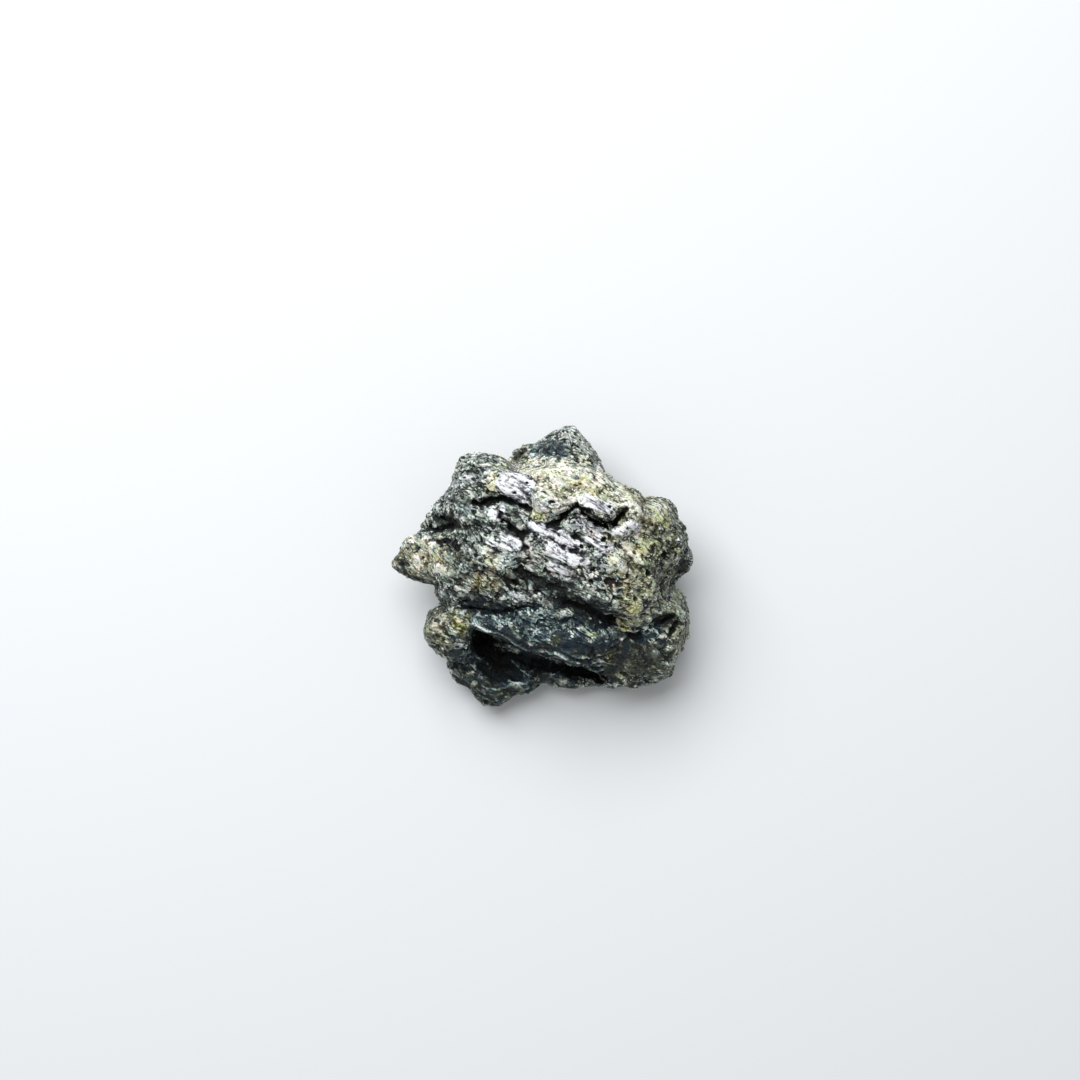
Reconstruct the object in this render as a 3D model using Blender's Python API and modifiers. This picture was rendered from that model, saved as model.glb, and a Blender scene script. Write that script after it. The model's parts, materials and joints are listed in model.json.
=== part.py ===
# Rough epidote: a thumb-sized cluster of crystal masses that grew into one stone.
# Metres, +Z up. Seen from above, +X is to the right and +Y is the side with the pointed lump.
# The origin is on the surface that the stone rests on, under the middle of its bounding box.

import math

import bmesh
import bpy
import numpy as np
from mathutils import Euler, Matrix, Vector, noise
from mathutils.bvhtree import BVHTree

# The stone is drawn in millimetres and brought to its real length in metres at the end.
DRAWN_LENGTH = 33.2
STONE_LENGTH = 0.0332
HEIGHT_STRETCH = 1.05

# How finely the masses are fused, and how many triangles the finished stone may keep
FUSING_GRID = 0.34
TRIANGLE_BUDGET = 9200

# The crystals lie along one direction, and the stone splits in thin layers across another.
CRYSTAL_DIRECTION = Vector((0.84, -0.5, -0.08)).normalized()
LAYER_NORMAL = Vector((0.12, 0.36, 0.92)).normalized()
LAYER_THICKNESS = 1.5
LAYER_DEPTH = 0.46

# The layers wave: how far, with the distance from one wave to the next
LAYER_WAVES = [(1.1, 6.0), (0.3, 2.2)]
# A layer slopes out over this share of its thickness and steps back in over the rest.
LAYER_SLOPE = 0.75

# Height of the lumps, with the distance from one to the next
LUMPS = [(0.45, 7.0), (0.4, 3.1), (0.24, 1.7)]
# Where the pattern of the lumps starts, and how far it moves on for each size of lump
LUMP_START = Vector((0.0, 1.9, 4.1))
LUMP_SHIFT = Vector((7.3, 0.0, 0.0))

# Small crystals show all over the stone, except in the shaded hollow at the front and near the ground.
SMALL_CRYSTALS = 230
CRYSTAL_SEED = 11
SMALL_LENGTH = (2.2, 5.0)
SMALL_WIDTH = (1.0, 1.9)
SMALL_DEPTH = (1.4, 2.2)
SMALL_RISE = (0.1, 0.5)
# How far a small crystal may stray from lying flat, and from the crystal direction
SMALL_TILT = 0.16
SMALL_SWERVE = 0.22
FRONT_HOLLOW = ((-9.0, -14.0, 1.5), (8.0, -6.0, 9.5))
LOWEST_CRYSTAL = 2.2

# Corners of a crystal: shares of its length and width, and the level as a share of its depth
CRYSTAL_CORNERS = [(0.43, 0.4, 0.0), (0.5, 0.3, -0.16), (0.47, 0.5, -0.22), (0.36, 0.5, -1.0)]

# Flat crystal faces: the size of one, how flat it gets and the seed of the pattern
FACE_PASSES = [(3.2, 0.55, 3), (1.8, 0.85, 8)]
# A face ends where the surface turns away: the weight of its direction beside its place, and how
# far apart the middles of two faces are at least, squared
FACE_TURN = 1.1
FACE_GAP = 0.8
# Points that are tried as the middle of a face, and points that are worked on at a time
FACE_TRIALS = 6000
POINTS_AT_ONCE = 2000

# A hollow fades out over this distance beyond its width.
HOLLOW_BANK = 0.7
# A hollow on top reaches its full depth where the surface's normal rises by this much.
HOLLOW_UPWARD = 1 / 3

# The rim is fitted to the outline in this many directions. Nearer the middle than the start, as a
# share of the way out, nothing moves, and from there on the fit takes hold over the width.
OUTLINE_SECTORS = 180
RIM_START = 0.55
RIM_WIDTH = 0.4

# The block that stands for the ground when the foot is cut, and a height above the whole stone
GROUND_BLOCK = Vector((40.0, 40.0, 10.0))
ABOVE_STONE = 50.0

STONE_COLOUR = (0.12, 0.14, 0.115, 1.0)
STONE_ROUGHNESS = 0.55

# The outline seen from above, in drawn millimetres, clockwise from the pointed lump
OUTLINE = [
    (2.9, 15.7), (3.9, 15.0), (4.6, 14.1), (5.6, 13.3), (6.1, 12.3), (6.6, 11.1), (7.1, 10.2),
    (7.7, 9.4), (8.7, 8.9), (9.8, 8.4), (11.0, 8.0), (12.3, 7.5), (12.6, 7.7), (13.2, 7.7), (14.1, 7.2),
    (14.8, 6.4), (15.2, 5.3), (15.4, 4.2), (15.9, 3.0), (16.4, 2.1), (16.7, 1.1), (16.7, 0.2),
    (16.4, -0.6), (15.5, -1.1), (15.1, -1.4), (15.0, -2.1), (15.6, -2.8), (16.1, -3.6), (16.4, -4.5),
    (16.1, -5.2), (16.5, -6.1), (16.4, -7.6), (15.8, -8.8), (15.1, -10.2), (14.6, -11.2), (14.3, -12.2),
    (13.5, -12.9), (12.1, -13.3), (10.7, -13.6), (9.4, -14.0), (7.7, -14.0), (6.2, -13.8), (5.3, -13.9),
    (3.5, -14.1), (1.7, -14.0), (0.6, -13.7), (-0.7, -13.4), (-0.6, -13.8), (-1.0, -14.4),
    (-2.2, -14.8), (-3.9, -15.0), (-4.3, -15.5), (-4.8, -16.0), (-5.8, -16.1), (-6.7, -15.9),
    (-7.5, -15.3), (-7.8, -14.5), (-8.3, -13.8), (-9.4, -13.4), (-10.5, -12.5), (-10.7, -11.8),
    (-10.8, -11.0), (-11.4, -10.3), (-12.4, -9.3), (-13.1, -8.3), (-13.3, -7.5), (-13.2, -6.4),
    (-12.8, -5.7), (-12.5, -4.7), (-11.7, -4.2), (-11.7, -3.8), (-12.1, -3.3), (-12.4, -2.2),
    (-12.4, -1.9), (-14.6, -1.7), (-15.8, -1.4), (-16.6, -0.7), (-16.7, 0.2), (-16.6, 1.1),
    (-16.1, 1.8), (-15.0, 2.8), (-14.2, 3.7), (-13.2, 4.2), (-13.0, 4.9), (-12.7, 5.5), (-12.0, 6.4),
    (-11.2, 7.3), (-10.5, 8.4), (-9.9, 9.5), (-9.5, 10.4), (-9.4, 11.1), (-9.0, 11.8), (-8.0, 12.3),
    (-6.4, 12.4), (-5.0, 12.2), (-3.5, 11.6), (-3.3, 12.1), (-2.9, 13.0), (-2.0, 13.2), (-0.8, 13.5),
    (0.1, 14.1), (1.5, 15.0), (2.2, 15.5),
]

# Each mass is a rounded block: the rim is its widest outline seen from above, the crown its top,
# and the base its underside. Points and heights are drawn millimetres.
# A crown or base is the rim drawn in to a share of its width. Its slope is the rise for each
# millimetre towards +X and +Y.
MASSES = {
    "core": {
        "rim": [(-8.5, 8.5), (-2, 10), (6, 9.5), (12, 6), (13, 0), (11.5, -6.5), (6, -8),
                (-2, -7), (-7.5, -5.5), (-10.5, -2), (-10.5, 4.5)],
        "rim_height": 8.0,
        "crown": {"height": 15.2, "share": 0.66, "slope": (0.0, 0.08)},
        "base": {"height": -0.5, "share": 0.54, "slope": (0.0, 0.0)},
    },
    "low_body": {
        "rim": [(-8.5, -4), (-9, -9), (-6.5, -11.8), (-1, -12), (6, -12.4), (11.5, -11), (12.5, -4.5),
                (9, 4), (-6, 5)],
        "rim_height": 2.4,
        "crown": {"height": 3.6, "share": 0.86, "slope": (0.03, 0.0)},
        "base": {"height": -0.5, "share": 0.62, "slope": (0.0, 0.0)},
    },
    "upper_left_shoulder": {
        "rim": [(-9.8, 11.3), (-9.4, 12.4), (-8.2, 12.8), (-6.4, 12.8), (-4.8, 12.5), (-3.4, 11.8),
                (-0.5, 8.5), (-2.5, 3.5), (-8.5, 2.5), (-12.7, 5.9), (-11.4, 7.6), (-10.3, 9.6)],
        "rim_height": 9.6,
        "crown": {"height": 14.6, "share": 0.58, "slope": (0.12, -0.2)},
        "base": {"height": 4.0, "share": 0.7, "slope": (0.0, 0.0)},
    },
    "left_notch": {
        "rim": [(-13.6, 4.4), (-13.1, 5.4), (-12.2, 6.7), (-9.0, 7.0), (-8.0, 3.0), (-12.0, 2.0)],
        "rim_height": 8.2,
        "crown": {"height": 10.6, "share": 0.7, "slope": (0.3, 0.0)},
        "base": {"height": 4.6, "share": 0.6, "slope": (0.0, 0.0)},
    },
    "left_crest": {
        "rim": [(-8.0, 6.6), (-4.0, 7.0), (0.0, 5.5), (1.0, 2.0), (-3.0, 0.0), (-8.5, 0.5), (-10.5, 3.0)],
        "rim_height": 12.2,
        "crown": {"height": 15.3, "share": 0.55, "slope": (0.12, 0.0)},
        "base": {"height": 9.0, "share": 0.8, "slope": (0.0, 0.0)},
    },
    "pale_ridge": {
        "rim": [(-4.5, 10.8), (1.0, 12.2), (5.6, 11.6), (7.6, 9.7), (12.6, 8.0), (13.8, 4.5), (9.5, 1.5),
                (3.0, 3.0), (-3.5, 5.4)],
        "rim_height": 11.6,
        "crown": {"height": 16.4, "share": 0.62, "slope": (-0.04, -0.24)},
        "base": {"height": 5.0, "share": 0.7, "slope": (0.0, 0.0)},
    },
    "apex_lump": {
        "rim": [(2.1, 15.7), (3.3, 15.9), (4.3, 15.0), (5.1, 14.0), (5.9, 13.4), (6.5, 12.2), (6.9, 11.0),
                (7.4, 9.8), (3.0, 8.0), (-2.6, 10.0), (-3.6, 11.6), (-3.1, 13.2), (-0.8, 13.8), (1.0, 15.0)],
        "rim_height": 7.8,
        "crown": {"height": 11.8, "share": 0.52, "slope": (0.04, -0.3)},
        "base": {"height": 3.4, "share": 0.55, "slope": (0.0, 0.2)},
    },
    "right_shoulder": {
        "rim": [(12.0, 7.9), (13.0, 8.4), (14.0, 8.0), (14.9, 6.9), (15.5, 5.3), (16.0, 3.0), (14.9, -1.2),
                (9.0, -1.5), (8.5, 5.5)],
        "rim_height": 9.2,
        "crown": {"height": 14.0, "share": 0.6, "slope": (-0.4, 0.05)},
        "base": {"height": 4.5, "share": 0.62, "slope": (0.0, 0.0)},
    },
    "right_knob": {
        "rim": [(15.6, 3.5), (16.6, 2.0), (16.9, 0.7), (16.6, -0.7), (15.1, -1.5), (12.5, -1.2), (12.5, 3.4)],
        "rim_height": 7.8,
        "crown": {"height": 10.8, "share": 0.55, "slope": (-0.2, 0.0)},
        "base": {"height": 5.0, "share": 0.5, "slope": (0.0, 0.0)},
    },
    "right_flank": {
        "rim": [(14.9, -1.9), (16.2, -3.0), (16.9, -4.4), (17.0, -6.0), (16.9, -7.8), (16.0, -10.2),
                (15.1, -12.8), (13.8, -13.8), (9.5, -14.4), (6.8, -13.6), (5.5, -8.0), (8.5, -2.0)],
        "rim_height": 5.2,
        "crown": {"height": 9.4, "share": 0.6, "slope": (-0.2, 0.34)},
        "base": {"height": 1.2, "share": 0.6, "slope": (0.0, 0.0)},
    },
    "knob_sill": {
        "rim": [(12.4, 0.2), (14.8, -0.6), (15.3, -1.4), (15.3, -2.4), (16.0, -3.4), (13.0, -4.4), (11.6, -1.8)],
        "rim_height": 6.4,
        "crown": {"height": 8.6, "share": 0.72, "slope": (-0.3, 0.1)},
        "base": {"height": 3.0, "share": 0.8, "slope": (0.0, 0.0)},
    },
    "notch_sill": {
        "rim": [(-12.9, -1.2), (-12.5, -3.2), (-12.3, -4.6), (-9.5, -5.4), (-8.5, -2.0), (-10.0, 0.0)],
        "rim_height": 6.6,
        "crown": {"height": 8.8, "share": 0.74, "slope": (0.2, 0.1)},
        "base": {"height": 3.4, "share": 0.7, "slope": (0.0, 0.0)},
    },
    "middle_step": {
        "rim": [(-11.5, -2.2), (-9.0, -4.4), (-3.0, -4.8), (3.0, -3.6), (9.0, -5.6), (13.0, -4.0),
                (13.6, 1.0), (9.0, 4.4), (-6.0, 4.0), (-11.5, 2.0)],
        "rim_height": 11.0,
        "crown": {"height": 15.2, "share": 0.6, "slope": (0.08, 0.24)},
        "base": {"height": 7.0, "share": 0.8, "slope": (0.0, 0.0)},
    },
    "right_slope": {
        "rim": [(6.0, 2.5), (11.5, 2.5), (13.8, -1.0), (13.4, -5.0), (11.0, -7.0), (7.6, -6.6), (6.0, -2.0)],
        "rim_height": 10.4,
        "crown": {"height": 14.0, "share": 0.56, "slope": (-0.12, 0.28)},
        "base": {"height": 6.0, "share": 0.8, "slope": (0.0, 0.0)},
    },
    "front_ledge": {
        "rim": [(-7.4, -6.6), (-5.0, -7.4), (-2.9, -8.4), (-0.6, -9.6), (1.7, -10.5),
                (4.1, -10.9), (6.4, -11.0), (8.6, -10.4), (9.8, -8.0), (7.0, -4.5), (-2.4, -4.2), (-7.5, -4.8)],
        "rim_height": 9.8,
        "crown": {"height": 12.9, "share": 0.6, "slope": (0.02, 0.14)},
        "base": {"height": 8.2, "share": 0.76, "slope": (-0.1, 0.1)},
    },
    "left_tongue": {
        "rim": [(-9.4, -4.9), (-9.2, -6.0), (-6.4, -7.3), (-3.0, -8.0), (-1.5, -5.5), (-3.5, -4.3), (-7.0, -4.4)],
        "rim_height": 10.2,
        "crown": {"height": 11.6, "share": 0.72, "slope": (0.12, 0.05)},
        "base": {"height": 9.0, "share": 0.84, "slope": (0.0, 0.0)},
    },
    "upper_lamella": {
        "rim": [(-3.4, -8.4), (0.4, -10.2), (3.4, -11.2), (6.6, -11.7), (9.0, -11.4), (9.5, -6.0), (-1.0, -6.0)],
        "rim_height": 8.1,
        "crown": {"height": 8.6, "share": 0.94, "slope": (0.0, 0.0)},
        "base": {"height": 7.3, "share": 0.9, "slope": (0.0, 0.0)},
    },
    "lower_lamella": {
        "rim": [(1.0, -9.6), (3.8, -11.6), (6.6, -12.5), (9.4, -12.6), (10.5, -6.0), (2.0, -6.0)],
        "rim_height": 6.3,
        "crown": {"height": 6.9, "share": 0.94, "slope": (0.0, 0.0)},
        "base": {"height": 5.4, "share": 0.9, "slope": (0.0, 0.0)},
    },
    "cavity_rib": {
        "rim": [(-3.6, -10.2), (-2.6, -11.6), (-0.8, -12.8), (2.0, -12.4), (3.0, -11.4), (0.2, -11.6),
                (-1.6, -10.8), (-2.6, -9.0)],
        "rim_height": 4.6,
        "crown": {"height": 5.2, "share": 0.9, "slope": (0.0, 0.0)},
        "base": {"height": 1.0, "share": 1.0, "slope": (0.0, 0.0)},
    },
    "front_toe": {
        "rim": [(9.4, -14.3), (5.2, -14.2), (1.7, -14.5), (-1.2, -13.7), (-3.0, -11.2), (0, -8.5), (9, -8.5)],
        "rim_height": 2.6,
        "crown": {"height": 3.6, "share": 0.82, "slope": (0.0, 0.0)},
        "base": {"height": 0.8, "share": 0.6, "slope": (0.0, 0.0)},
    },
    "left_body": {
        "rim": [(-12.7, -1.8), (-12.4, -3.4), (-11.8, -4.1), (-8.0, -5.2), (-5.0, -1.0), (-7.5, 4.5),
                (-13.1, 4.6), (-12.9, 1.0)],
        "rim_height": 9.2,
        "crown": {"height": 13.4, "share": 0.6, "slope": (0.26, 0.05)},
        "base": {"height": 4.6, "share": 0.66, "slope": (0.0, 0.0)},
    },
    "left_spike": {
        "rim": [(-17.0, 0.3), (-16.7, 1.6), (-15.0, 3.2), (-13.2, 4.7), (-9.5, 4.6), (-8.5, -1.0),
                (-12.4, -1.6), (-14.5, -2.1), (-16.2, -1.9), (-17.1, -1.0)],
        "rim_height": 7.8,
        "crown": {"height": 10.0, "share": 0.72, "slope": (0.14, 0.1)},
        "base": {"height": 4.8, "share": 0.55, "slope": (-0.2, 0.0)},
    },
    "lower_left_lobe": {
        "rim": [(-12.1, -4.5), (-13.2, -5.1), (-13.9, -6.5), (-14.1, -7.8), (-13.4, -9.6), (-11.6, -11.4),
                (-8.8, -11.6), (-7.6, -8.0), (-8.0, -5.2), (-9.5, -4.2)],
        "rim_height": 5.8,
        "crown": {"height": 9.4, "share": 0.6, "slope": (0.04, 0.25)},
        "base": {"height": 1.6, "share": 0.6, "slope": (0.0, 0.0)},
    },
    "cavity_wall": {
        "rim": [(-12.4, -5.2), (-8.6, -4.6), (-7.9, -7.5), (-8.3, -10.6), (-11.2, -10.6), (-12.8, -8.0)],
        "rim_height": 5.0,
        "crown": {"height": 8.2, "share": 0.88, "slope": (0.0, 0.1)},
        "base": {"height": 1.6, "share": 0.86, "slope": (0.0, 0.0)},
    },
    "left_foot": {
        "rim": [(-11.6, -4.5), (-11.9, -1.0), (-10.5, 3.0), (-6.0, 3.0), (-5.0, -6.0), (-8.9, -7.2)],
        "rim_height": 5.0,
        "crown": {"height": 8.4, "share": 0.9, "slope": (0.0, 0.0)},
        "base": {"height": 1.2, "share": 0.72, "slope": (0.0, 0.0)},
    },
    "lower_left_toe": {
        "rim": [(-11.2, -10.9), (-11.4, -12.7), (-9.1, -14.2), (-8.4, -15.5), (-7.0, -16.8), (-4.8, -16.9),
                (-3.2, -16.1), (-0.6, -15.5), (-0.5, -13.0), (-4.0, -11.0), (-8.5, -8.8)],
        "rim_height": 2.8,
        "crown": {"height": 4.4, "share": 0.76, "slope": (0.0, 0.06)},
        "base": {"height": 0.6, "share": 0.6, "slope": (0.0, 0.0)},
    },
}

# Flat crystals that stand out on top: the middle of the flat face seen from above, how far it
# rises over the stone there, its length, width and depth, all in drawn millimetres, and its turn
# about X, Y and Z in degrees.
CRYSTALS = {
    "long_lath": {"middle": (2.1, 2.8), "rise": 0.5, "size": (7.6, 1.8, 3.0), "turn": (10, 2, -31)},
    "short_lath": {"middle": (5.7, 3.0), "rise": 0.4, "size": (5.0, 1.3, 2.6), "turn": (12, 4, -36)},
    "lower_lath": {"middle": (2.2, 0.9), "rise": 0.4, "size": (5.0, 1.7, 2.6), "turn": (8, 4, -33)},
    "broad_face": {"middle": (-2.5, 8.4), "rise": 0.4, "size": (4.6, 3.4, 3.0), "turn": (-10, 4, -38)},
    "brow_block": {"middle": (6.3, 6.1), "rise": 0.7, "size": (5.8, 2.8, 3.0), "turn": (-6, 6, -27)},
    "left_lath": {"middle": (-4.6, 2.2), "rise": 0.4, "size": (4.6, 1.6, 2.4), "turn": (8, -4, -22)},
    "middle_lath": {"middle": (-5.4, -0.6), "rise": 0.35, "size": (5.0, 1.8, 2.4), "turn": (12, -4, -18)},
    "slope_lath": {"middle": (5.6, -1.9), "rise": 0.4, "size": (5.4, 1.8, 2.6), "turn": (16, 6, -30)},
    "flank_face": {"middle": (12.6, -8.4), "rise": 0.3, "size": (4.4, 2.6, 2.4), "turn": (14, 12, -52)},
    "flank_lath": {"middle": (10.0, -10.6), "rise": 0.3, "size": (4.6, 2.2, 2.4), "turn": (20, 6, -20)},
    "spike_face": {"middle": (-13.0, 1.0), "rise": 0.3, "size": (5.0, 3.0, 2.4), "turn": (4, -8, -10)},
    "ledge_lath": {"middle": (1.0, -7.2), "rise": 0.3, "size": (6.0, 2.4, 2.2), "turn": (12, 0, -16)},
    "outer_lath": {"middle": (9.9, 0.2), "rise": 0.4, "size": (4.6, 1.9, 2.6), "turn": (10, 10, -48)},
    "crest_lath": {"middle": (1.4, 6.6), "rise": 0.4, "size": (4.8, 1.8, 2.4), "turn": (-6, 2, -24)},
}

# Hollows: each follows a path of drawn points, with its width and depth. A path without heights
# lies on top of the stone.
HOLLOWS = {
    "arched_crack": {"path": [(-6.8, 6.8), (-5.0, 7.2), (-3.1, 6.9), (-1.5, 6.3)], "width": 0.5, "depth": 1.3},
    "brow_crevice": {"path": [(1.6, 4.9), (2.4, 5.6), (3.4, 6.2), (4.3, 5.4), (5.6, 4.7), (7.0, 4.4), (8.3, 5.4)],
                     "width": 0.5, "depth": 1.8},
    "left_hollow": {"path": [(-11.4, 4.3), (-10.4, 4.2), (-9.0, 4.8)], "width": 0.3, "depth": 1.0},
    "middle_hollow": {"path": [(-4.6, 4.6), (-3.2, 3.8), (-1.8, 3.1)], "width": 0.7, "depth": 1.3},
    "long_furrow": {"path": [(-3.4, -0.5), (-0.3, -1.3), (2.4, -1.9)], "width": 1.0, "depth": 0.8},
    "dark_pocket": {"path": [(1.9, -3.6), (4.1, -4.6), (6.6, -5.4), (8.0, -6.2)], "width": 1.6, "depth": 1.9},
    "ledge_groove": {"path": [(-8.8, -4.5), (-6.0, -5.0), (-3.6, -5.0), (-1.4, -4.2), (1.2, -3.9)],
                     "width": 0.8, "depth": 1.1},
    "lobe_gap": {"path": [(-12.8, -4.3, 6.0), (-11.0, -4.5, 7.6), (-9.8, -4.8, 8.4)],
                 "width": 0.5, "depth": 0.7},
    "right_gap": {"path": [(9.8, -7.3), (12.2, -7.0), (14.4, -6.2)], "width": 1.0, "depth": 1.0},
    "big_cavity": {"path": [(-6.4, -8.8, 6.4), (-5.6, -10.2, 5.6), (-4.4, -10.8, 5.2), (-2.8, -10.4, 6.6)],
                   "width": 2.6, "depth": 2.4},
    "front_cavity": {"path": [(0.0, -10.8, 5.2), (2.4, -11.8, 4.8), (5.0, -12.4, 4.6)],
                     "width": 1.6, "depth": 1.8},
}


def clear_scene():
    for obj in list(bpy.data.objects):
        bpy.data.objects.remove(obj)


def ring(rim, level):
    # The rim drawn in to a share of its width, on a plane that slopes about the rim's middle.
    points = np.array(rim, float)
    middle = points.mean(axis=0)
    drawn_in = middle + (points - middle) * level.get("share", 1.0)
    slope = np.array(level.get("slope", (0.0, 0.0)))
    heights = level["height"] + (drawn_in - middle) @ slope
    return [Vector((x, y, z)) for (x, y), z in zip(drawn_in, heights)]


def add_hull(bm, points):
    corners = [bm.verts.new(point) for point in points]
    hull = bmesh.ops.convex_hull(bm, input=corners)
    leftover = hull["geom_interior"] + hull["geom_unused"]
    unused = {item for item in leftover if isinstance(item, bmesh.types.BMVert)}
    bmesh.ops.delete(bm, geom=list(unused), context="VERTS")


def add_mass(bm, mass):
    points = ring(mass["rim"], {"height": mass["rim_height"]})
    points += ring(mass["rim"], mass["crown"])
    points += ring(mass["rim"], mass["base"])
    add_hull(bm, points)


def add_crystal(bm, middle, size, turn):
    # A lath with a flat top, bevelled long sides and slanted ends.
    length, width, depth = size
    corners = []
    for share_x, share_y, level in CRYSTAL_CORNERS:
        for side_x in (-1, 1):
            for side_y in (-1, 1):
                corner = Vector((side_x * share_x * length, side_y * share_y * width, level * depth))
                corners.append(turn @ corner + middle)
    add_hull(bm, corners)


def object_of(name, bm):
    mesh = bpy.data.meshes.new(name)
    bm.to_mesh(mesh)
    bm.free()
    obj = bpy.data.objects.new(name, mesh)
    bpy.context.scene.collection.objects.link(obj)
    return obj


def apply_modifiers(obj):
    graph = bpy.context.evaluated_depsgraph_get()
    mesh = bpy.data.meshes.new_from_object(obj.evaluated_get(graph))
    obj.modifiers.clear()
    obj.data = mesh


def fuse(obj, rounding_steps):
    fusing = obj.modifiers.new("Fuse", "REMESH")
    fusing.mode = "VOXEL"
    fusing.voxel_size = FUSING_GRID
    rounding = obj.modifiers.new("Round", "SMOOTH")
    rounding.factor = 0.5
    rounding.iterations = rounding_steps
    apply_modifiers(obj)


def read_vectors(items, attribute):
    values = np.zeros(len(items) * 3, np.float32)
    items.foreach_get(attribute, values)
    return values.reshape(-1, 3).astype(float)


def write_points(obj, points):
    obj.data.vertices.foreach_set("co", points.astype(np.float32).ravel())
    obj.data.update()


def add_small_crystals(bm, obj):
    # Small laths that lie along the crystal direction, half sunk into the surface.
    chance = np.random.default_rng(CRYSTAL_SEED)
    points = read_vectors(obj.data.vertices, "co")
    normals = read_vectors(obj.data.vertices, "normal")
    lowest, highest = np.array(FRONT_HOLLOW)
    for index in chance.choice(len(points), SMALL_CRYSTALS, replace=False):
        in_hollow = np.all(points[index] > lowest) and np.all(points[index] < highest)
        if in_hollow or points[index][2] < LOWEST_CRYSTAL:
            continue
        normal = Vector(normals[index] + chance.normal(0.0, SMALL_TILT, 3)).normalized()
        along = CRYSTAL_DIRECTION + Vector(chance.normal(0.0, SMALL_SWERVE, 3))
        along = (along - normal * along.dot(normal)).normalized()
        turn = Matrix((along, normal.cross(along), normal)).transposed()
        size = (chance.uniform(*SMALL_LENGTH), chance.uniform(*SMALL_WIDTH), chance.uniform(*SMALL_DEPTH))
        middle = Vector(points[index]) + normal * chance.uniform(*SMALL_RISE)
        add_crystal(bm, middle, size, turn)


def raise_lumps(obj):
    # Rounded lumps of several sizes, pushed out along the surface.
    points = read_vectors(obj.data.vertices, "co")
    normals = read_vectors(obj.data.vertices, "normal")
    for step, (height, distance) in enumerate(LUMPS):
        for index, point in enumerate(points):
            place = Vector(point) / distance + LUMP_START + LUMP_SHIFT * step
            points[index] += normals[index] * noise.noise(place) * height
    write_points(obj, points)


def raise_layers(obj):
    # Thin layers that step in and out wherever the surface cuts across them.
    points = read_vectors(obj.data.vertices, "co")
    normals = read_vectors(obj.data.vertices, "normal")
    layer_normal = np.array(LAYER_NORMAL)
    for index, point in enumerate(points):
        waviness = sum(noise.noise(Vector(point) / distance) * reach for reach, distance in LAYER_WAVES)
        level = (point @ layer_normal + waviness) / LAYER_THICKNESS
        share = level - math.floor(level)
        step_out = min(share / LAYER_SLOPE, (1.0 - share) / (1.0 - LAYER_SLOPE))
        outward = normals[index] - layer_normal * (normals[index] @ layer_normal)
        points[index] += outward * (step_out - 0.5) * LAYER_DEPTH
    write_points(obj, points)


def surface_below(obj, place):
    # The highest point of the stone under a place on the plan.
    corners = [vertex.co for vertex in obj.data.vertices]
    faces = [list(face.vertices) for face in obj.data.polygons]
    tree = BVHTree.FromPolygons(corners, faces)
    return tree.ray_cast(Vector((place[0], place[1], ABOVE_STONE)), Vector((0.0, 0.0, -1.0)))[0]


def distance_to_path(points, path):
    nearest = np.full(len(points), 1e9)
    for start, end in zip(path[:-1], path[1:]):
        start = np.array(start)
        along = np.array(end) - start
        share = np.clip((points - start) @ along / (along @ along), 0.0, 1.0)
        nearest = np.minimum(nearest, np.linalg.norm(points - start - share[:, None] * along, axis=1))
    return nearest


def carve_hollows(obj):
    for hollow in HOLLOWS.values():
        points = read_vectors(obj.data.vertices, "co")
        normals = read_vectors(obj.data.vertices, "normal")
        reach = hollow["width"] / 2 + HOLLOW_BANK
        if len(hollow["path"][0]) == 3:
            distance = distance_to_path(points, hollow["path"])
            inward = -normals
        else:
            # A hollow on top goes straight down into the faces that look up.
            path = [(x, y, 0.0) for x, y in hollow["path"]]
            distance = distance_to_path(points * (1.0, 1.0, 0.0), path)
            inward = np.outer(np.clip(normals[:, 2] / HOLLOW_UPWARD, 0.0, 1.0), (0.0, 0.0, -1.0))
        nearness = np.clip(1.0 - distance / reach, 0.0, 1.0)
        profile = nearness * nearness * (3.0 - 2.0 * nearness)
        write_points(obj, points + inward * (profile * hollow["depth"])[:, None])


def flatten_faces(obj, size, strength, seed):
    # Each patch of the surface is drawn towards its own plane, like the faces of crystals.
    chance = np.random.default_rng(seed)
    points = read_vectors(obj.data.vertices, "co")
    normals = read_vectors(obj.data.vertices, "normal")
    signature = np.hstack([points / size, normals * FACE_TURN])
    seeds = []
    for index in chance.permutation(len(points))[:FACE_TRIALS]:
        if not seeds or np.min(np.sum((signature[seeds] - signature[index]) ** 2, axis=1)) > FACE_GAP:
            seeds.append(index)
    owner = np.zeros(len(points), int)
    for start in range(0, len(points), POINTS_AT_ONCE):
        part = signature[start:start + POINTS_AT_ONCE]
        gaps = np.sum((part[:, None, :] - signature[seeds][None, :, :]) ** 2, axis=2)
        owner[start:start + POINTS_AT_ONCE] = np.argmin(gaps, axis=1)
    for patch in range(len(seeds)):
        members = np.nonzero(owner == patch)[0]
        if len(members) < 4:
            continue
        middle = points[members].mean(axis=0)
        normal = normals[members].mean(axis=0)
        normal /= max(np.linalg.norm(normal), 1e-6)
        height = (points[members] - middle) @ normal
        points[members] -= normal * (height * strength)[:, None]
    write_points(obj, points)


def reach_of_outline(angle):
    # How far the drawn outline lies from the middle in one direction.
    direction = np.array([math.cos(angle), math.sin(angle)])
    reach = 0.0
    for start, end in zip(OUTLINE, OUTLINE[1:] + OUTLINE[:1]):
        side = np.array(end) - np.array(start)
        crossing = direction[0] * side[1] - direction[1] * side[0]
        if abs(crossing) < 1e-9:
            continue
        distance = (start[0] * side[1] - start[1] * side[0]) / crossing
        share = (start[0] * direction[1] - start[1] * direction[0]) / crossing
        if distance > 0.0 and 0.0 <= share <= 1.0:
            reach = max(reach, distance)
    return reach


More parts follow.
